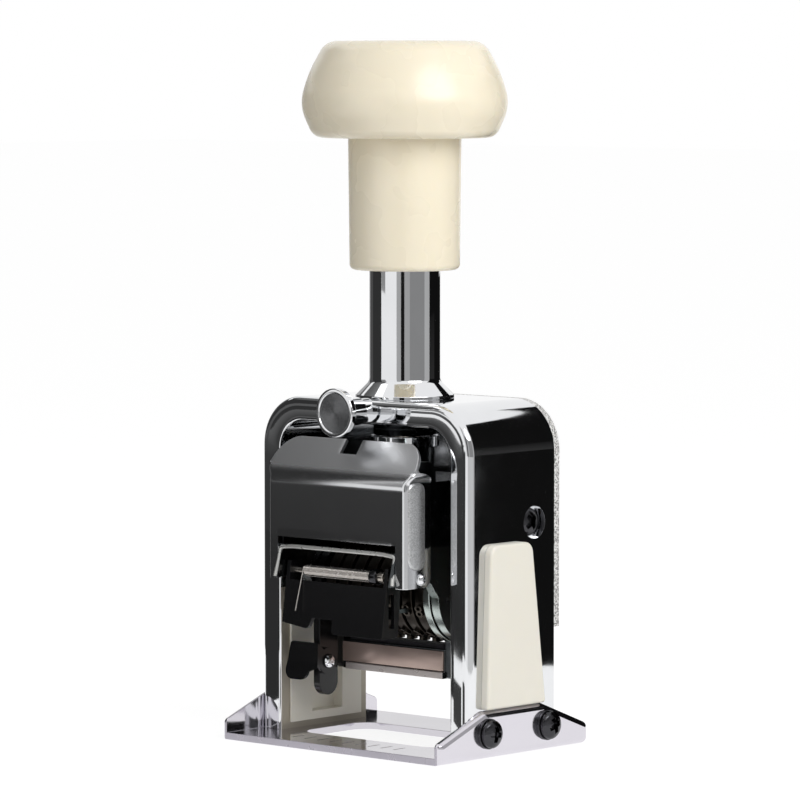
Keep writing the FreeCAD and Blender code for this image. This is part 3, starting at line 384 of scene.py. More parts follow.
finishes = {
    # bright chrome plate: near mirror, faint waves from polishing
    "chromePlate": ("#E9EAEC", (0.03, 0.07), (9.0, 0.008), (0.5, 0.0004), 1),
    # chrome on pressed sheet: the rolled surface under it blurs what it mirrors
    "chromeSheet": ("#E4E5E7", (0.09, 0.15), (14.0, 0.008), (0.35, 0.0006), 1),
    # chrome on the cover's sheet: its leaning top is brushed and blurs what it mirrors into a soft grey
    "coverChrome": ("#DEDFE1", (0.11, 0.13), (14.0, 0.006), (0.35, 0.0004), 1,
                    {"brushed": (72.5, 76.0, 0.3)}),
    # the cut edge of the base's sheet
    "cutSheet": ("#BDB9C3", (0.24, 0.34), (5.0, 0.012), (0.3, 0.002), 0.6),
    # chrome on the base's sheet, a little lilac
    "baseChrome": ("#DCD9E0", (0.08, 0.14), (14.0, 0.01), (0.35, 0.0008), 1),
    # a rolled or cut edge of steel, paler than the dark sheet beside it so that it shows as a bright line: a
    # painted highlight
    "highlightEdge": ("#CBCBC8", (0.26, 0.3), (3.0, 0.002), (0.2, 0.0005), 0.7),
    # inside of the cast frame: dull, dusty with oil
    "castInside": ("#B3AC9E", (0.42, 0.52), (4.0, 0.01), (0.5, 0.006), 0.5),
    # the sheared edge of a plate: torn metal under thin chrome, bright and grainy
    "shearedEdge": ("#F2F1EF", (0.3, 0.4), (1.1, 0.006), (0.38, 0.006), 0.1, {"speckle": (0.44, 0.54, 0.22)}),
    # the coined pad on the cover's wings: small dents that sparkle
    "coinedPad": ("#DADBDC", (0.28, 0.38), (0.8, 0.006), (0.3, 0.006), 0.9, {"speckle": (0.4, 0.6, 0.62)}),
    # black oxide on steel screws: dark metal with an oily sheen
    "blackOxide": ("#464649", (0.14, 0.24), (1.2, 0.004), (0.25, 0.002), 1),
    # zinc plate: cool grey-green, cloudy
    "zincPlate": ("#C6D0CC", (0.2, 0.34), (3.0, 0.01), (0.3, 0.003), 1),
    # steel of the head's plates, dark with oil and ink, and darkened further as painted shade of the head's
    # inside
    "oilInkAndShadeSteel": ("#55585A", (0.16, 0.28), (4.0, 0.006), (0.3, 0.002), 1),
    # ground steel rod
    "groundSteel": ("#B9B2AA", (0.16, 0.26), (2.0, 0.003), (0.2, 0.001), 1),
    # drawn spring wire
    "springWire": ("#CFCAC5", (0.18, 0.28), (0.8, 0.002), (0.15, 0.001), 1),
    # wheel steel, nearly black: ink on it, and painted shade of the head's inside
    "wheelInkAndShade": ("#45403B", (0.28, 0.46), (1.6, 0.006), (0.25, 0.003), 1),
    # the tops of the digits, a little paler where printing rubs the ink off, and darkened with the wheels as
    # painted shade
    "digitFace": ("#4E4943", (0.22, 0.36), (0.9, 0.004), (0.2, 0.003), 1),
    # the ink tray's nickel, stained pink and brown by ink
    "stainedNickel": ("#D2BBB1", (0.2, 0.26), (9.0, 0.004), (0.4, 0.0005), 0.6, {"cloud": 0.3}),
    # the tray's rolled lip, paler
    "paleNickel": ("#DCD3D0", (0.26, 0.3), (6.0, 0.004), (0.3, 0.001), 0.5),
    # black enamel: thin glossy paint with a soft skin
    "blackEnamel": ("#101012", (0.24, 0.27), (8.0, 0.003), (0.3, 0.0002), 0),
    # cream moulded plastic, polished
    "creamPlastic": ("#F3E9D1", (0.27, 0.28), (12.0, 0.0015), (0.6, 0.0006), 0, {"cloud": 0.01}),
    # the same plastic from a matter mould, a little whiter
    "creamSatin": ("#EAE6DA", (0.36, 0.39), (6.0, 0.003), (0.3, 0.0015), 0, {"cloud": 0.02}),
}
materials = {}

# noise of two sizes, and plastic that light enters a little way, some of it under a clear coat
slowNoise = {"Detail": 2.0, "Roughness": 0.45}
fineNoise = {"Detail": 3.0, "Roughness": 0.6}
cloudRange = (0.3, 0.7)
plainCloud = 0.07
creamDepth = {"Subsurface Weight": 0.12, "Subsurface Radius": (0.9 * mm, 0.7 * mm, 0.4 * mm),
              "Subsurface Scale": 1.0}
creamCoat = {"Coat Weight": 0.25, "Coat Roughness": 0.26}


def makeFinish(name, tint, rough, waves, grain, metal, more=None):
    # slow noise for waves and cloudiness, fine noise for grain; both in object space and real millimetres
    material, tree = newMaterial(name)
    place = addNode(tree, "ShaderNodeTexCoord")
    slow = addNoise(tree, place, waves[0], slowNoise)
    fine = addNoise(tree, place, grain[0], fineNoise)
    roughness = addRange(tree, slow, *cloudRange, *rough)
    normal = addBump(tree, fine, grain[1], addBump(tree, slow, waves[1]))
    more = more or {}
    if "brushed" in more:
        # between two heights in mm it gets rougher, from 0 to a most, where that is more than it has
        start, end, most = more["brushed"]
        axes = addNode(tree, "ShaderNodeSeparateXYZ", links={0: place.outputs["Object"]})
        climb = addRange(tree, axes.outputs["Z"], start * mm, end * mm, 0.0, most)
        roughness = addNode(tree, "ShaderNodeMath", {"operation": "MAXIMUM"},
                            {0: roughness, 1: climb}).outputs[0]
    full = np.array(linear(tint))
    less = full * ([1 - more.get("cloud", plainCloud)] * 3 + [1])
    colour = addNode(tree, "ShaderNodeMixRGB", {"Color1": tuple(less), "Color2": tuple(full)},
                     {"Fac": slow}).outputs[0]
    if "speckle" in more:
        # the grain's low spots are darkened to a share, over a range of its noise
        start, end, dark = more["speckle"]
        dots = addRange(tree, fine, start, end, dark, 1.0)
        colour = addNode(tree, "ShaderNodeMixRGB", {"blend_type": "MULTIPLY", "Fac": 1.0},
                         {"Color1": colour, "Color2": dots}).outputs[0]
    settings = {"Metallic": metal}
    if name.startswith("cream"):
        settings.update(creamDepth)
    if name == "creamPlastic":
        settings.update(creamCoat)
    showShader(tree, addNode(tree, "ShaderNodeBsdfPrincipled", settings,
                             {"Base Color": colour, "Roughness": roughness, "Normal": normal}))
    materials[name] = material


for finishName, finishData in finishes.items():
    makeFinish(finishName, *finishData)


inkFelt = {"hex": "#1B1626", "wet": "#0B0912", "fibre": 0.35, "fibreDepth": 0.09, "patch": 5,
           "rough": 0.85, "sheen": 0.25}


def makeInkFelt(c):
    # wool felt soaked with ink: short fibres in all directions, darker where it is wet
    material, tree = newMaterial("inkFelt")
    place = addNode(tree, "ShaderNodeTexCoord")
    fibre = addNoise(tree, place, c["fibre"], {"Detail": 4.0, "Roughness": 0.7, "Distortion": 1.5})
    patch = addNoise(tree, place, c["patch"], {"Detail": 2.0})
    tint = addNode(tree, "ShaderNodeMixRGB", {"Color1": linear(c["wet"]), "Color2": linear(c["hex"])},
                   {"Fac": patch})
    normal = addBump(tree, fibre, c["fibreDepth"])
    showShader(tree, addNode(tree, "ShaderNodeBsdfPrincipled",
                             {"Roughness": c["rough"], "Sheen Weight": c["sheen"]},
                             {"Base Color": tint.outputs[0], "Normal": normal}))
    materials["inkFelt"] = material


makeInkFelt(inkFelt)
finishOf = {"chrome_frame": "chromePlate", "chrome_sheet": "chromeSheet", "black_steel": "blackOxide",
            "cream_plastic": "creamPlastic", "cream_guide": "creamSatin", "steel_rod": "groundSteel",
            "spring_steel": "springWire", "zinc_steel": "zincPlate", "black_paint": "blackEnamel",
            "wheel_steel": "wheelInkAndShade", "ink_felt": "inkFelt"}
print("finishes made:", len(materials))


def dress(obj, node, finish=None, stands=True):
    # a piece rides on its CAD node's body, takes its slot and finish, and stands for the node if it is the
    # main one
    obj.data.materials.clear()
    obj.data.materials.append(materials[finish or finishOf[slotOf[node]]])
    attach(obj, bodyOf[node])
    if stands:
        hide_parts(node)


# Knob, sleeve and neck

knob = {"corners": [(0, 163.8), (24.6, 163.8, 4.0), (28.45, 172.6, 11.5), (25.9, 181.4, 36.0),
                    (21.3, 189.8, 5.2), (0, 190.0)], "steps": 28, "count": 192}
sleeve = {"corners": [(9.9, 128.2, 0.5), (14.9, 128.2, 1.6), (15.3, 163.8, 0.2), (9.9, 163.8)],
          "steps": 12, "count": 160}
neck = {"corners": [(4.05, 93.6), (13.4, 93.6, 0.15), (13.4, 94.5, 0.35), (9.6, 98.3, 2.0), (9.6, 134.0, 0.5),
                    (8.1, 134.0, 0.4), (8.1, 97.0), (4.05, 97.0)], "steps": 12, "count": 160,
        "shank": (4.05, 7.0), "shankLow": 83.7, "shankTop": 93.55, "slot": 2.1, "shankSteps": 60}


def turnedPart(c, centre, axis, closed=False):
    # a piece's corners, rounded and turned round an axis
    return turned(rounded(c["corners"], c["steps"]).T, centre, axis, c["count"], closed)


def makeNeck(c):
    # the tube is turned; below its foot the shank is a C in plan, open at the front where the lock pin enters
    arcs = []
    for radius in c["shank"]:
        half = math.asin(c["slot"] / radius)
        angle = np.linspace(half - np.pi / 2, 3 * np.pi / 2 - half, c["shankSteps"])
        arcs.append(np.stack([np.cos(angle), np.sin(angle)], 1) * radius)
    plan = np.concatenate([arcs[1], arcs[0][::-1]])
    shank = prism(plan, c["shankLow"], c["shankTop"], "z")
    dress(meshPiece("neckDressed", [turnedPart(c, origin, alongZ, True), shank]), "neck_tube")


dress(meshPiece("knobDressed", [turnedPart(knob, origin, alongZ)]), "knob")
dress(meshPiece("sleeveDressed", [turnedPart(sleeve, origin, alongZ, True)]), "knob_sleeve")
makeNeck(neck)
print("knob, sleeve and neck made")


# Lock button

button = {"height": 90.9, "corners": [(0, -28.1), (5.35, -28.1, 0.2), (5.55, -28.4, 0.15), (6.6, -28.4, 0.45),
                                      (6.6, -26.5, 0.5), (3.8, -25.2, 1.0), (3.8, -19.2, 0.15), (3.42, -19.2),
                                      (3.42, -22.2), (1.9, -22.2), (1.9, -7.0), (1.3, -6.9),
                                      (1.3, -4.35, 0.2), (0, -4.3)],
          "steps": 10, "count": 144, "sharp": 34, "flatRadius": 5.3, "flatPlace": -28, "faceHex": "#8F9092",
          "faceRough": 0.24, "ringPitch": 0.32, "ringDepth": 0.012}
# the boss on the frame that the button's stem slides over
boss = {"corners": [(1.97, -15.2), (3.3, -15.2), (3.3, -19.7, 0.2), (1.97, -19.7)], "steps": 6, "count": 96}


def makeButton(c):
    obj = meshPiece("buttonDressed", [turnedPart(c, (0, 0, c["height"]), alongY)], c["sharp"])
    dress(obj, "lock_button")
    # the flat of the head shows the rings of its turning: a sine of the distance from the axis, which the
    # texture repeats every 0.314 of its unit
    material, tree = newMaterial("turnedFace")
    place = addNode(tree, "ShaderNodeTexCoord")
    moved = addNode(tree, "ShaderNodeMapping", {"Location": (0, 0, -c["height"] * mm)},
                    {"Vector": place.outputs["Object"]})
    rings = addNode(tree, "ShaderNodeTexWave",
                    {"wave_type": "RINGS", "rings_direction": "Y", "Distortion": 0.6, "Detail Scale": 3.0,
                     "Scale": 0.314 / (c["ringPitch"] * mm)}, {"Vector": moved.outputs[0]})
    settings = {"Metallic": 1.0, "Roughness": c["faceRough"], "Base Color": linear(c["faceHex"])}
    normal = addBump(tree, rings.outputs["Fac"], c["ringDepth"])
    showShader(tree, addNode(tree, "ShaderNodeBsdfPrincipled", settings, {"Normal": normal}))
    obj.data.materials.append(material)
    centres = np.array([tuple(p.center) for p in obj.data.polygons])
    radius = np.hypot(centres[:, 0], centres[:, 2] - c["height"] * mm)
    flat = (radius < c["flatRadius"] * mm) & (centres[:, 1] < c["flatPlace"] * mm)
    obj.data.polygons.foreach_set("material_index", flat.astype(np.int32))


makeButton(button)
bossPart = turnedPart(boss, (0, 0, button["height"]), alongY, True)
dress(meshPiece("lockBoss", [bossPart]), "frame_arch", None, False)
print("lock button made")


# Crowned front of the frame: from the inner line to the outer one the face bulges by crown * 4 t (1 - t), and
# the crown itself grows from the flat top band to the legs, between the two heights of rise

archFront = {"place": -16.48, "crown": (0.05, 0.20), "rise": (78, 88), "back": 0.3, "pin": 1.98, "low": 2.0,
             "inner": (31.4, 87.9, 8.7), "outer": (35.5, 91.5, 11.4), "steps": 40, "across": 13, "sharp": 30}
mirror = np.array([-1, 1, 1])


def smooth(t):
    # a soft step from 0 to 1: t^2 (3 - 2 t)
    t = np.clip(t, 0, 1)
    return t * t * (3 - 2 * t)


def makeArchFront(c):
    inner, outer = [rounded([(c["pin"], top), (reach, top, corner), (reach, c["low"])], c["steps"])
                    for reach, top, corner in (c["inner"], c["outer"])]
    t = np.linspace(0, 1, c["across"])[None, :]
    flat = inner[:, None] * (1 - t[..., None]) + outer[:, None] * t[..., None]
    least, most = c["crown"]
    fall = (c["rise"][1] - inner[:, 1:]) / (c["rise"][1] - c["rise"][0])
    depth = c["place"] - (least + (most - least) * smooth(fall)) * 4 * t * (1 - t)
    face = np.stack([flat[..., 0], depth, flat[..., 1]], -1)
    back = face[:, [-1, 0]] * [1, 0, 1] + [0, c["place"] + c["back"], 0]
    ring = np.concatenate([face, back], 1)
    ends = [np.repeat(ring[i].mean(0)[None, None], ring.shape[1], 1) for i in (0, -1)]
    half = np.concatenate([ends[0], ring, ends[1]])
    parts = [grid(half, False, True), grid(half * mirror, False, True)]
    dress(meshPiece("archCrown", parts, c["sharp"]), "frame_arch", None, False)


makeArchFront(archFront)
print("frame's front made")


# Front cover: one pressed sheet, whose foot runs beside the window and whose top runs beside the notch, and
# the crowned pads on its wings

cover = {"low": 45.2, "windowTop": 56.6, "notchFloor": 79.6, "top": 83.3, "front": -27.5, "topPlace": -20.0,
         "bend": 73.3, "leanRound": 8.0, "leanSteps": 40, "half": 24.84, "brow": 26.28, "browLow": 72.6,
         "browHigh": 75.4, "corner": 7.2, "window": 21.3, "windowGap": 0.3, "notch": 3.0, "wingRear": -17.4,
         "wingFade": 71.9, "wingTop": 76.1, "wingRound": 2.4, "bendRound": 1.25, "sheet": 1.0, "rim": 0.2,
         "rimAngle": 55, "middle": 64, "fineFrom": 69, "sharp": 50}
# rows of points in each band of heights, from the foot up, and columns in each stretch across
coverRows = {"foot": 9, "window": 6, "plain": 6, "bend": 60, "top": 26}
coverColumns = {"wing": 9, "window": 13, "notch": 4}
pad = {"front": -26.4, "rear": -19.8, "low": 50.0, "high": 73.2, "rounds": (3.1, 2.2), "base": 24.5,
       "face": 25.45, "edge": 0.4, "crown": 0.22, "steps": 12, "rows": 25, "steep": 6}


def addBevel(obj, name, width, angle):
    bevel = obj.modifiers.new(name, "BEVEL")
    bevel.width = width * mm
    bevel.segments = 3
    bevel.limit_method = "ANGLE"
    bevel.angle_limit = math.radians(angle)
    return bevel


def coverLines(z, c):
    # for each height: the front's place, from the side view's line; the half width, which widens to the brow
    # and draws in round the top corners as width - R + sqrt(R^2 - rise^2); how far back the wings reach, a
    # quarter ellipse where they fade out; and the bend between them, never wider than the wing is deep
    corners = [(c["front"], c["low"]), (c["front"], c["bend"], c["leanRound"]), (c["topPlace"], c["top"])]
    side = rounded(corners, c["leanSteps"])
    front = np.interp(z, side[:, 1], side[:, 0])
    half = c["half"] + (c["brow"] - c["half"]) * smooth((z - c["browLow"]) / (c["browHigh"] - c["browLow"]))
    rise = np.clip(z - (c["top"] - c["corner"]), 0, c["corner"])
    half = half - c["corner"] + np.sqrt(c["corner"] ** 2 - rise ** 2)
    fade = np.clip((z - c["wingFade"]) / (c["wingTop"] - c["wingFade"]), 0, 1)
    drop = np.clip(1 - (z - c["low"]) / c["wingRound"], 0, 1)
    lost = c["wingRound"] * (1 - np.sqrt(1 - drop ** 2))
    depth = (c["wingRear"] - c["front"]) * np.sqrt(1 - fade ** 2) - lost
    return front, half, depth, np.minimum(c["bendRound"], depth)


def coverHalf(z, edge, c):
    # one half of the sheet for some heights: from the wing's rear edge round the bend to a line at x = edge
    front, half, depth, bend = [v[:, None] for v in coverLines(z, c)]
    z = z[:, None]
    s, t, u = [np.linspace(0, 1, coverColumns[key])[None, :] for key in ("wing", "window", "notch")]
    turn = s[:, 1:] * np.pi / 2
    window = np.minimum(c["window"], half - bend - c["windowGap"])
    parts = [joined(half, front + depth + (bend - depth) * s, z),
             joined(half - bend + bend * np.cos(turn), front + bend - bend * np.sin(turn), z),
             joined(half - bend + (window - half + bend) * s[:, 1:], front, z)]
    if edge < c["window"]:
        parts.append(joined(window + (c["notch"] - window) * t[:, 1:], front, z))
    if edge == 0:
        parts.append(joined(c["notch"] * (1 - u[:, 1:]), front, z))
    return np.concatenate(parts, 1)


def band(marks, counts):
    # evenly spaced heights from mark to mark, each mark once
    runs = [np.linspace(low, high, count) for low, high, count in zip(marks, marks[1:], counts)]
    return np.concatenate([runs[0]] + [run[1:] for run in runs[1:]])


def makeCover(c, rows):
    # three bands of heights: beside the window, across the whole front, and beside the notch
    low = band((c["low"], c["low"] + c["wingRound"], c["windowTop"]), (rows["foot"], rows["window"]))
    middle = band((c["windowTop"], c["fineFrom"], c["notchFloor"]), (rows["plain"], rows["bend"]))
    high = band((c["notchFloor"], c["top"]), (rows["top"],))
    patches = [coverHalf(low, c["window"], c), coverHalf(middle, 0, c), coverHalf(high, c["notch"], c)]
    parts = [grid(patch) for patch in patches]
    parts += [grid((patch * mirror)[:, ::-1]) for patch in patches]
    obj = meshPiece("coverDressed", parts, c["sharp"], False)
    front = min(obj.data.polygons,
                key=lambda face: abs(face.center.x) + abs(face.center.z - c["middle"] * mm))
    if front.normal.y > 0:
        obj.data.flip_normals()
    solid = obj.modifiers.new("sheet", "SOLIDIFY")
    solid.thickness = c["sheet"] * mm
    solid.offset = -1
    solid.use_even_offset = True
    addBevel(obj, "rim", c["rim"], c["rimAngle"])
    dress(obj, "front_cover", "coverChrome")


def makePads(c):
    # each pad is a shell of smaller and smaller copies of its outline, s from its rim to its spine, whose
    # height climbs edge * (1 - (1 - steep * s)^2) at the rim and crown * s (2 - s) all the way
    wide, tight = c["rounds"]
    outline = rounded([(c["front"], c["low"], wide), (c["rear"], c["low"], tight),
                       (c["rear"], c["high"], tight), (c["front"], c["high"], tight)], c["steps"])[:-1]
    spine = np.stack([np.full(len(outline), outline[:, 0].mean()),
                      np.clip(outline[:, 1], c["low"] + wide, c["high"] - wide)], 1)
    s = np.linspace(0, 1, c["rows"])[:, None]
    rim = np.clip(c["steep"] * s, 0, 1)
    height = c["face"] - c["edge"] * (1 - rim) ** 2 + c["crown"] * s * (2 - s) - c["crown"]
    flat = outline[None] * (1 - s[..., None]) + spine[None] * s[..., None]
    shell = np.concatenate([np.broadcast_to(height[..., None], (*flat.shape[:2], 1)), flat], 2)
    foot = np.concatenate([np.full((1, len(outline), 1), c["base"]), outline[None]], 2)
    middle = np.array([c["base"], *outline.mean(0)])[None, None].repeat(len(outline), 1)
    shell = np.concatenate([middle, foot, shell])
    slabs = [grid(shell, False, True), grid(shell * mirror, False, True)]
    dress(meshPiece("coverPads", slabs), "front_cover", "coinedPad", False)


makeCover(cover, coverRows)
makePads(pad)
print("front cover made")


# Screws with a domed head and a cross recess, whose arm is half its length and half its width

screws = {
    "base_screws": {"radius": 3.75, "rise": 2.5, "rim": 0.7, "shank": 1.9, "depth": 6.4, "arm": (2.15, 0.62),
                    "recess": 1.3, "turn": 24},
    "side_screws": {"radius": 3.8, "rise": 2.3, "rim": 0.6, "shank": 1.7, "depth": 5.4, "arm": (2.2, 0.62),
                    "recess": 1.25, "turn": 10},
    "rear_screws": {"radius": 3.1, "rise": 2.1, "rim": 0.6, "shank": 1.5, "depth": 8.8, "arm": (1.8, 0.52),
                    "recess": 1.1, "turn": 33},
}
screwSeats = {
    "base_screws": [((side * 40.4, y, 6.7), (side, 0, 0)) for side in (-1, 1) for y in (-11.1, 12.9)],
    "side_screws": [((side * 34.8, 9.8, 61.4), (side, 0, 0)) for side in (-1, 1)],
    "rear_screws": [((side * 33.2, 20.2, 41.0), (0, 1, 0)) for side in (-1, 1)],
}
# the head's grid and how round its dome is, how soft the recess is at its ends and walls, where the head's
# rim stands and how far it is undercut, and the turn from one screw to the next
screwHead = {"grid": 61, "dome": 0.98, "ends": 0.35, "walls": 0.22, "edge": 0.15, "under": 0.97, "next": 29}


def screw(c, head, seat, outward, turn):
    # the head is a square grid drawn onto a disc, x = u sqrt(1 - v^2 / 2) and y = v sqrt(1 - u^2 / 2); its
    # height is a dome, rim + (rise - rim) * sqrt(1 - r^2), less a cross of two soft-edged bars
    line = np.linspace(-1, 1, head["grid"])
    u, v = line[:, None], line[None, :]
    x, y = u * np.sqrt(1 - v ** 2 / 2), v * np.sqrt(1 - u ** 2 / 2)
    dome = c["rim"] + (c["rise"] - c["rim"]) * np.sqrt(np.clip(1 - head["dome"] * (x ** 2 + y ** 2), 0, 1))
    a, b = np.abs(x) * c["radius"], np.abs(y) * c["radius"]
    longSide, shortSide = c["arm"]

    def bar(one, other):
        ends = np.clip((longSide - one) / head["ends"], 0, 1)
        return smooth(ends * np.clip((shortSide - other) / head["walls"] + 0.5, 0, 1))

    height = dome - c["recess"] * np.maximum(bar(a, b), bar(b, a))
    outward, across, third = crossAxes(outward)
    turn = math.radians(turn)
    one = across * math.cos(turn) + third * math.sin(turn)
    other = np.cross(outward, one)
    flat = x[..., None] * one * c["radius"] + y[..., None] * other * c["radius"]
    top = seat + flat + height[..., None] * outward
    ring, spokes = [np.concatenate([side[0, :-1], side[:-1, -1], side[-1, :0:-1], side[:0:-1, 0]])
                    for side in (top, flat)]
    shank = spokes * c["shank"] / c["radius"]
    rows = [ring, seat + spokes + outward * head["edge"], seat + spokes * head["under"], seat + shank,
            seat + shank - outward * c["depth"], seat + shank * 0 - outward * c["depth"]]
    return [grid(top), grid(np.stack(rows), False, True)]


for screwNode, screwData in screws.items():
    screwParts = []
    for number, (place, outward) in enumerate(screwSeats[screwNode]):
        turn = screwData["turn"] + screwHead["next"] * number
        screwParts += screw(screwData, screwHead, np.array(place), outward, turn)
    dress(meshPiece(screwNode + "Dressed", screwParts), screwNode)
print("screws made")


# Number wheels: a drum, a ratchet ring on its left and ten raised digits

wheel = {"count": 8, "pitch": 4.6, "first": -18.25, "axle": 41.8, "bore": 3.12, "drum": 12.7, "face": 13.58,
         "ratchet": 10.6, "step": 1.5, "ratchetWide": 0.9, "wide": 4.3, "digits": 10, "digitHigh": 3.3,
         "digitWide": 2.5, "sink": 0.3, "round": 0.2, "steps": 5, "drumCount": 120, "ratchetCount": 200,
         "sharp": 35}


def pointsOf(mesh):
    points = np.empty(len(mesh.vertices) * 3)
    mesh.vertices.foreach_get("co", points)
    return points.reshape(-1, 3)


def flatDigit(text):
    # a digit of Blender's own font as points (across, up, out), a unit high and from 0 to 1 out
    curve = bpy.data.curves.new("digit" + text, "FONT")
    curve.body = text
    curve.extrude = 0.5
    curve.resolution_u = 3
    flat = bpy.data.objects.new("digit" + text, curve)
    bpy.context.scene.collection.objects.link(flat)
    graph = bpy.context.evaluated_depsgraph_get()
    mesh = bpy.data.meshes.new_from_object(flat.evaluated_get(graph))
    points = pointsOf(mesh)
    faces = [list(p.vertices) for p in mesh.polygons]
    bpy.data.objects.remove(flat)
    bpy.data.curves.remove(curve)
    bpy.data.meshes.remove(mesh)
    low, high = points.min(0), points.max(0)
    return (points - [(low[0] + high[0]) / 2, (low[1] + high[1]) / 2, low[2]]) / (high - low), faces


def makeWheels(c):
    # digits are wrapped round the drum: each one's own angle plus up / radius, the radius from drum to face;
    # the ratchet's radius falls by a step along each tooth
    digits = [flatDigit(str(k)) for k in range(c["digits"])]
    points = np.concatenate([d[0] for d in digits])
    places = np.arange(c["digits"]) * math.radians(360 / c["digits"])
    angle = np.repeat(places, [len(d[0]) for d in digits]) + points[:, 1] * c["digitHigh"] / c["drum"]
    radius = c["drum"] - c["sink"] + points[:, 2] * (c["face"] - c["drum"] + c["sink"])
    wrapped = np.stack([points[:, 0] * c["digitWide"], radius * np.sin(angle),
                        c["axle"] - radius * np.cos(angle)], 1)
    digitFaces = shifted(digits)[1]
    thin, wide = c["ratchetWide"], c["wide"]
    spin = np.arange(c["ratchetCount"]) / c["ratchetCount"]
    teeth = c["ratchet"] - c["step"] * ((spin * c["digits"]) % 1)
    bore = np.full_like(teeth, c["bore"])
    ratchetLine = np.stack([bore, teeth, teeth, bore]), [0, 0, thin, thin]
    drumLine = rounded([(c["bore"], thin), (c["drum"], thin, c["round"]), (c["drum"], wide, c["round"]),
                        (c["bore"], wide)], c["steps"])
    for k in range(c["count"]):
        left = c["first"] + k * c["pitch"]
        centre = (left, 0, c["axle"])
        drum = turned(drumLine.T, centre, alongX, c["drumCount"], True)
        ring = turned(ratchetLine, centre, alongX, c["ratchetCount"], True)
        raised = (wrapped + [left + (thin + wide) / 2, 0, 0]) * mm, digitFaces
        node = "number_wheel_%d" % (k + 1)
        # the drums and the digits' tops are dark partly as painted shade
        dress(meshPiece("wheelDressed%d" % (k + 1), [drum, ring], c["sharp"]), node)
        dress(meshPiece("digits%d" % (k + 1), [raised], c["sharp"]), node, "digitFace", False)


makeWheels(wheel)
print("number wheels made")


# Torsion spring on its rod, with a spacer ring and the rod's bright end

coil = {"start": -13.8, "long": 24.0, "turns": 56, "wire": 0.2, "mean": 1.45, "leg": 11.4, "legFoot": 0.4,
        "legSteps": 8, "lean": 16, "place": -24.1, "height": 47.5, "turnSteps": 18, "sides": 8, "sharp": 60}
rodRings = {
    "rodSpacer": {"corners": [(0.95, 10.3, 0.2), (2.2, 10.3, 0.35), (2.2, 12.8, 0.35), (0.95, 12.8, 0.2)],
                  "steps": 6, "count": 48, "finish": "blackOxide"},
    "rodEnd": {"corners": [(0.95, 12.8), (1.55, 12.8, 0.15), (1.55, 15.0, 0.3), (0.95, 15.0)],
               "steps": 6, "count": 48, "finish": "groundSteel"},
}


def makeTorsionSpring(c):
    # a left-hand helix, radius (cos, -sin) of the turn while x grows, and a straight leg along its first
    # tangent
    lean = math.radians(c["lean"])
    radial = np.array([0, -math.cos(lean), math.sin(lean)])
    side = -np.cross(alongX, radial)
    turn = np.linspace(0, 2 * np.pi * c["turns"], c["turns"] * c["turnSteps"] + 1)[:, None]
    rise = c["long"] / (2 * np.pi * c["turns"])
    base = np.array([c["start"], c["place"], c["height"]])
    helix = base + c["mean"] * (radial * np.cos(turn) + side * np.sin(turn)) + np.array([rise, 0, 0]) * turn
    leg = helix[0] - side * np.linspace(c["leg"], c["legFoot"], c["legSteps"])[:, None]
    wire = tube(np.concatenate([leg, helix]), c["wire"], alongX, c["sides"])
    dress(meshPiece("torsionDressed", [wire], c["sharp"]), "torsion_spring")


makeTorsionSpring(coil)
for ringName, ringData in rodRings.items():
    ringPart = turnedPart(ringData, (0, coil["place"], coil["height"]), alongX, True)
    dress(meshPiece(ringName, [ringPart]), "hinge_rod", ringData["finish"], False)
print("torsion spring made")


# The bracket's rolled front edge, a bar paler than the bracket as a painted highlight, that turns down at
# both ends and flares at its feet

rolledEdge = {"route": [(-20.9, -29.0, 45.8), (-20.75, -27.6, 50.5), (-20.7, -26.75, 54.05),
                        (20.7, -26.75, 54.05), (20.35, -27.2, 50.2), (21.2, -28.6, 46.0)],
              "share": 0.12, "cuts": 4, "radius": 0.58, "side": (0, 1, 0.05), "sides": 14, "sharp": 60}


def makeRolledEdge(c):
    # the route's corners are cut several times, each time at a share from both ends of every stretch
    route = np.array(c["route"], float)
    near, far = 1 - c["share"], c["share"]
    for _ in range(c["cuts"]):
        first, last = route[:-1], route[1:]
        middle = np.stack([first * near + last * far, first * far + last * near], 1).reshape(-1, 3)
        route = np.concatenate([route[:1], middle[1:-1], route[-1:]])
    bar = tube(route, c["radius"], c["side"], c["sides"])
    dress(meshPiece("rolledEdge", [bar], c["sharp"]), "rod_bracket", "highlightEdge", False)


makeRolledEdge(rolledEdge)


# The ink tray's front: a stained nickel plate inside the tray's darker border

trayFace = {"corners": [(-18.4, 20.9, 0.4), (18.2, 20.9, 0.4), (18.2, 26.3, 0.4), (-18.4, 26.3, 0.4)],
            "steps": 6, "front": -4.95, "back": -4.4, "edge": 0.14, "edgeSteps": 5}


def makeTrayFace(c):
    plate = prism(rounded(c["corners"], c["steps"]), c["front"], c["back"], "y", c["edge"], c["edgeSteps"])
    dress(meshPiece("trayFace", [plate]), "pad_tray", "stainedNickel", False)


makeTrayFace(trayFace)
print("rolled edge and tray plate made")


# The other nodes: merged copies of the solids with their sharp edges rounded. Each row gives the rounding in
# mm, the planes (axis, place in mm) that split flat faces at their holes, a finish where it isn't the slot's
# own, a second finish with its faces, told by their normal (way) and centre (spot), and which edges get that
# rounding (wide) where the rest gets another

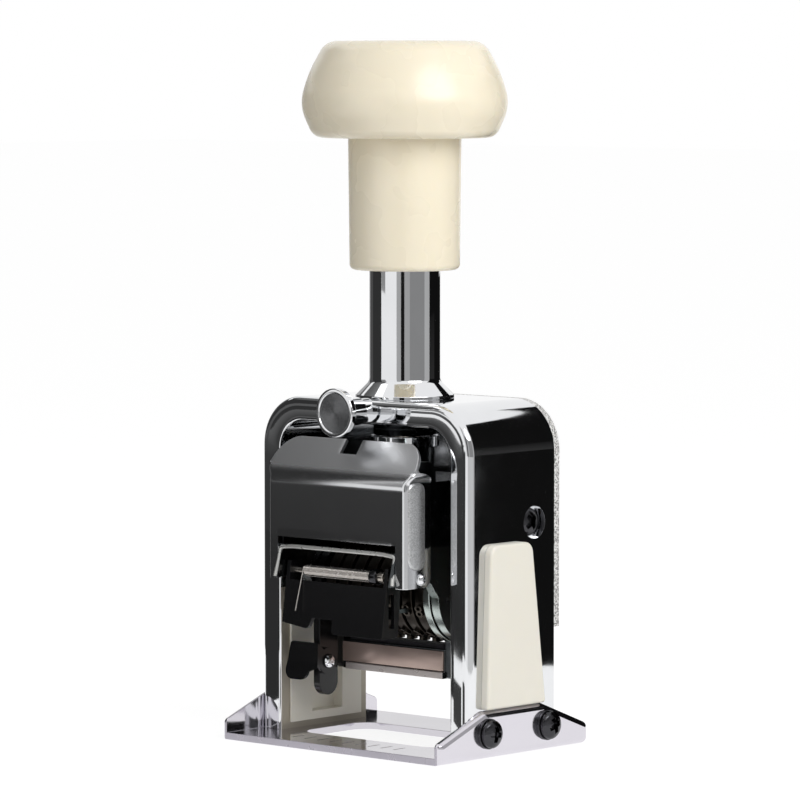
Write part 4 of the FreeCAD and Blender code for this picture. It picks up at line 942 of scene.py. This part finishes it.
side, front, up = 0, 1, 2
others = {
    "base_plate": {"round": 0.3, "finish": "baseChrome",
                   "splits": [(side, 0), (front, -22.7), (front, -11.1), (front, 12.9), (up, 6.7)],
                   "second": ("cutSheet", lambda way, spot: abs(way[1]) > 0.9 and abs(spot[1]) > 29)},
    "base_washers": {"round": 0.12, "splits": [(up, 6.7)]},
    "frame_arch": {"round": 0.9, "other": 0.3,
                   "splits": [(side, 0), (front, 0), (up, 6.7), (up, 41), (up, 61.4), (up, 30)],
                   "wide": lambda middle: middle[1] < -16.3 and (abs(middle[0]) > 35.9 or middle[2] > 88.3),
                   "second": ("castInside", lambda way, spot: abs(way[1]) < 0.5 and spot[2] > 4
                              and way[0] * spot[0] < -8 and abs(spot[0]) < 32 and spot[2] < 45)},
    "rear_cover": {"round": 0.15, "splits": [(up, 41), (up, 61.4)],
                   "second": ("shearedEdge", lambda way, spot: abs(way[1]) < 0.5 and spot[1] > 17.9)},
    "left_guide": {"round": 0.3, "splits": [(front, 0), (up, 30), (up, 50)]},
    "right_guide": {"round": 0.3, "splits": [(front, 0), (up, 30), (up, 50)]},
    "neck_nut": {"round": 0, "splits": [(side, 0)], "finish": "oilInkAndShadeSteel"},
    "head_collar": {"round": 0.2, "splits": [(side, 0)]},
    "plunger_rod": {"round": 0.1},
    # the yoke takes the dark steel as painted shade everywhere but the edges of its right side, which stay
    # bright zinc
    "head_yoke": {"round": 0.25, "splits": [(side, 0), (up, 41.8), (up, 47.4)], "finish": "zincPlate",
                  "second": ("oilInkAndShadeSteel", lambda way, spot: abs(way[0]) > 0.7 or spot[0] < 21)},
    "wheel_axle": {"round": 0.1},
    "cover_rivets": {"round": 0},
    "rod_bracket": {"round": 0.2, "splits": [(up, 47.5)], "finish": "oilInkAndShadeSteel"},
    "hinge_rod": {"round": 0.1},
    "pawl_block": {"round": 0.25, "splits": [(up, 47.5), (up, 38)]},
    "pawl_comb": {"round": 0.1, "finish": "oilInkAndShadeSteel"},
    "left_pad_arm": {"round": 0.25, "splits": [(up, 41.8), (up, 21.5)]},
    # the right arm's side faces and its lower part take the dark steel as painted shade; the rest keeps its
    # own finish
    "right_pad_arm": {"round": 0.25, "splits": [(up, 41.8)],
                      "second": ("oilInkAndShadeSteel", lambda way, spot: abs(way[0]) > 0.7 or spot[2] < 27)},
    "pad_tray": {"round": 0.15, "splits": [(side, 0)], "finish": "oilInkAndShadeSteel",
                 "second": ("paleNickel", lambda way, spot: spot[2] < 20.8
                            and (spot[1] < -4.6 or way[2] < -0.7))},
    "ink_pad": {"round": 0.3},
    "finger_lever": {"round": 0.18, "splits": [(up, 21.5)]},
    "lever_rivet": {"round": 0},
    "return_spring": {"round": 0},
}
# gaps in m within which points merge, edges vanish and a plane meets a point; degrees up to which faces are
# flat and from which an edge is rounded; and the share by which a mesh's area may change
meshRules = {"merge": 2e-6, "shortest": 1e-7, "plane": 1e-6, "flat": 0.6, "edge": 32, "area": 0.0005}


def surfaceArea(work):
    return sum(face.calc_area() for face in work.faces)


def softened(node, c, rules):
    # a copy of a solid's mesh: points merged, flat faces joined up to the planes that split them, then
    # rounded by modifiers
    source = nodes[node].data
    mesh = bpy.data.meshes.new(node + "Dressed")
    mesh.from_pydata(pointsOf(source).tolist(), [], [tuple(p.vertices) for p in source.polygons])
    work = cleaned(mesh, rules["merge"], rules["shortest"])
    for axis, place in c.get("splits", []):
        way = [0, 0, 0]
        way[axis] = 1
        cut = bmesh.ops.bisect_plane(work, geom=work.verts[:] + work.edges[:] + work.faces[:],
                                     dist=rules["plane"], plane_co=[v * place * mm for v in way],
                                     plane_no=way)["geom_cut"]
        for part in cut:
            if isinstance(part, bmesh.types.BMEdge):
                part.seam = True
    # flat faces join, but never over a hole: where the area grows, the copy from before is kept
    before = work.copy()
    area = surfaceArea(work)
    bmesh.ops.dissolve_limit(work, angle_limit=math.radians(rules["flat"]), verts=work.verts,
                             edges=work.edges, delimit={"SEAM"})
    if abs(surfaceArea(work) / area - 1) > rules["area"]:
        print("  kept its triangles:", node)
        work.free()
        work = before
    if "wide" in c:
        weight = work.edges.layers.float.new("bevel_weight_edge")
        for edge in work.edges:
            if len(edge.link_faces) == 2 and edge.calc_face_angle() > math.radians(rules["edge"]):
                middle = (edge.verts[0].co + edge.verts[1].co) / 2 / mm
                edge[weight] = 1 if c["wide"](middle) else c["other"] / c["round"]
    if "second" in c:
        for face in work.faces:
            spot = face.calc_center_median() / mm
            face.material_index = 1 if c["second"][1](face.normal, spot) else 0
    work.to_mesh(mesh)
    work.free()
    mesh.polygons.foreach_set("use_smooth", [True] * len(mesh.polygons))
    obj = bpy.data.objects.new(node + "Dressed", mesh)
    bpy.context.scene.collection.objects.link(obj)
    if c["round"]:
        bevel = addBevel(obj, "edges", c["round"], rules["edge"])
        bevel.limit_method = "WEIGHT" if "wide" in c else "ANGLE"
        bevel.use_clamp_overlap = True
        bevel.miter_outer = "MITER_ARC"
    weighted = obj.modifiers.new("normals", "WEIGHTED_NORMAL")
    weighted.mode = "FACE_AREA"
    weighted.keep_sharp = True
    index = [p.material_index for p in mesh.polygons]
    dress(obj, node, c.get("finish"))
    if "second" in c:
        mesh.materials.append(materials[c["second"][0]])
        mesh.polygons.foreach_set("material_index", index)
    return obj


for nodeName, nodeData in others.items():
    piece = softened(nodeName, nodeData, meshRules)
print("other nodes finished:", len(others))
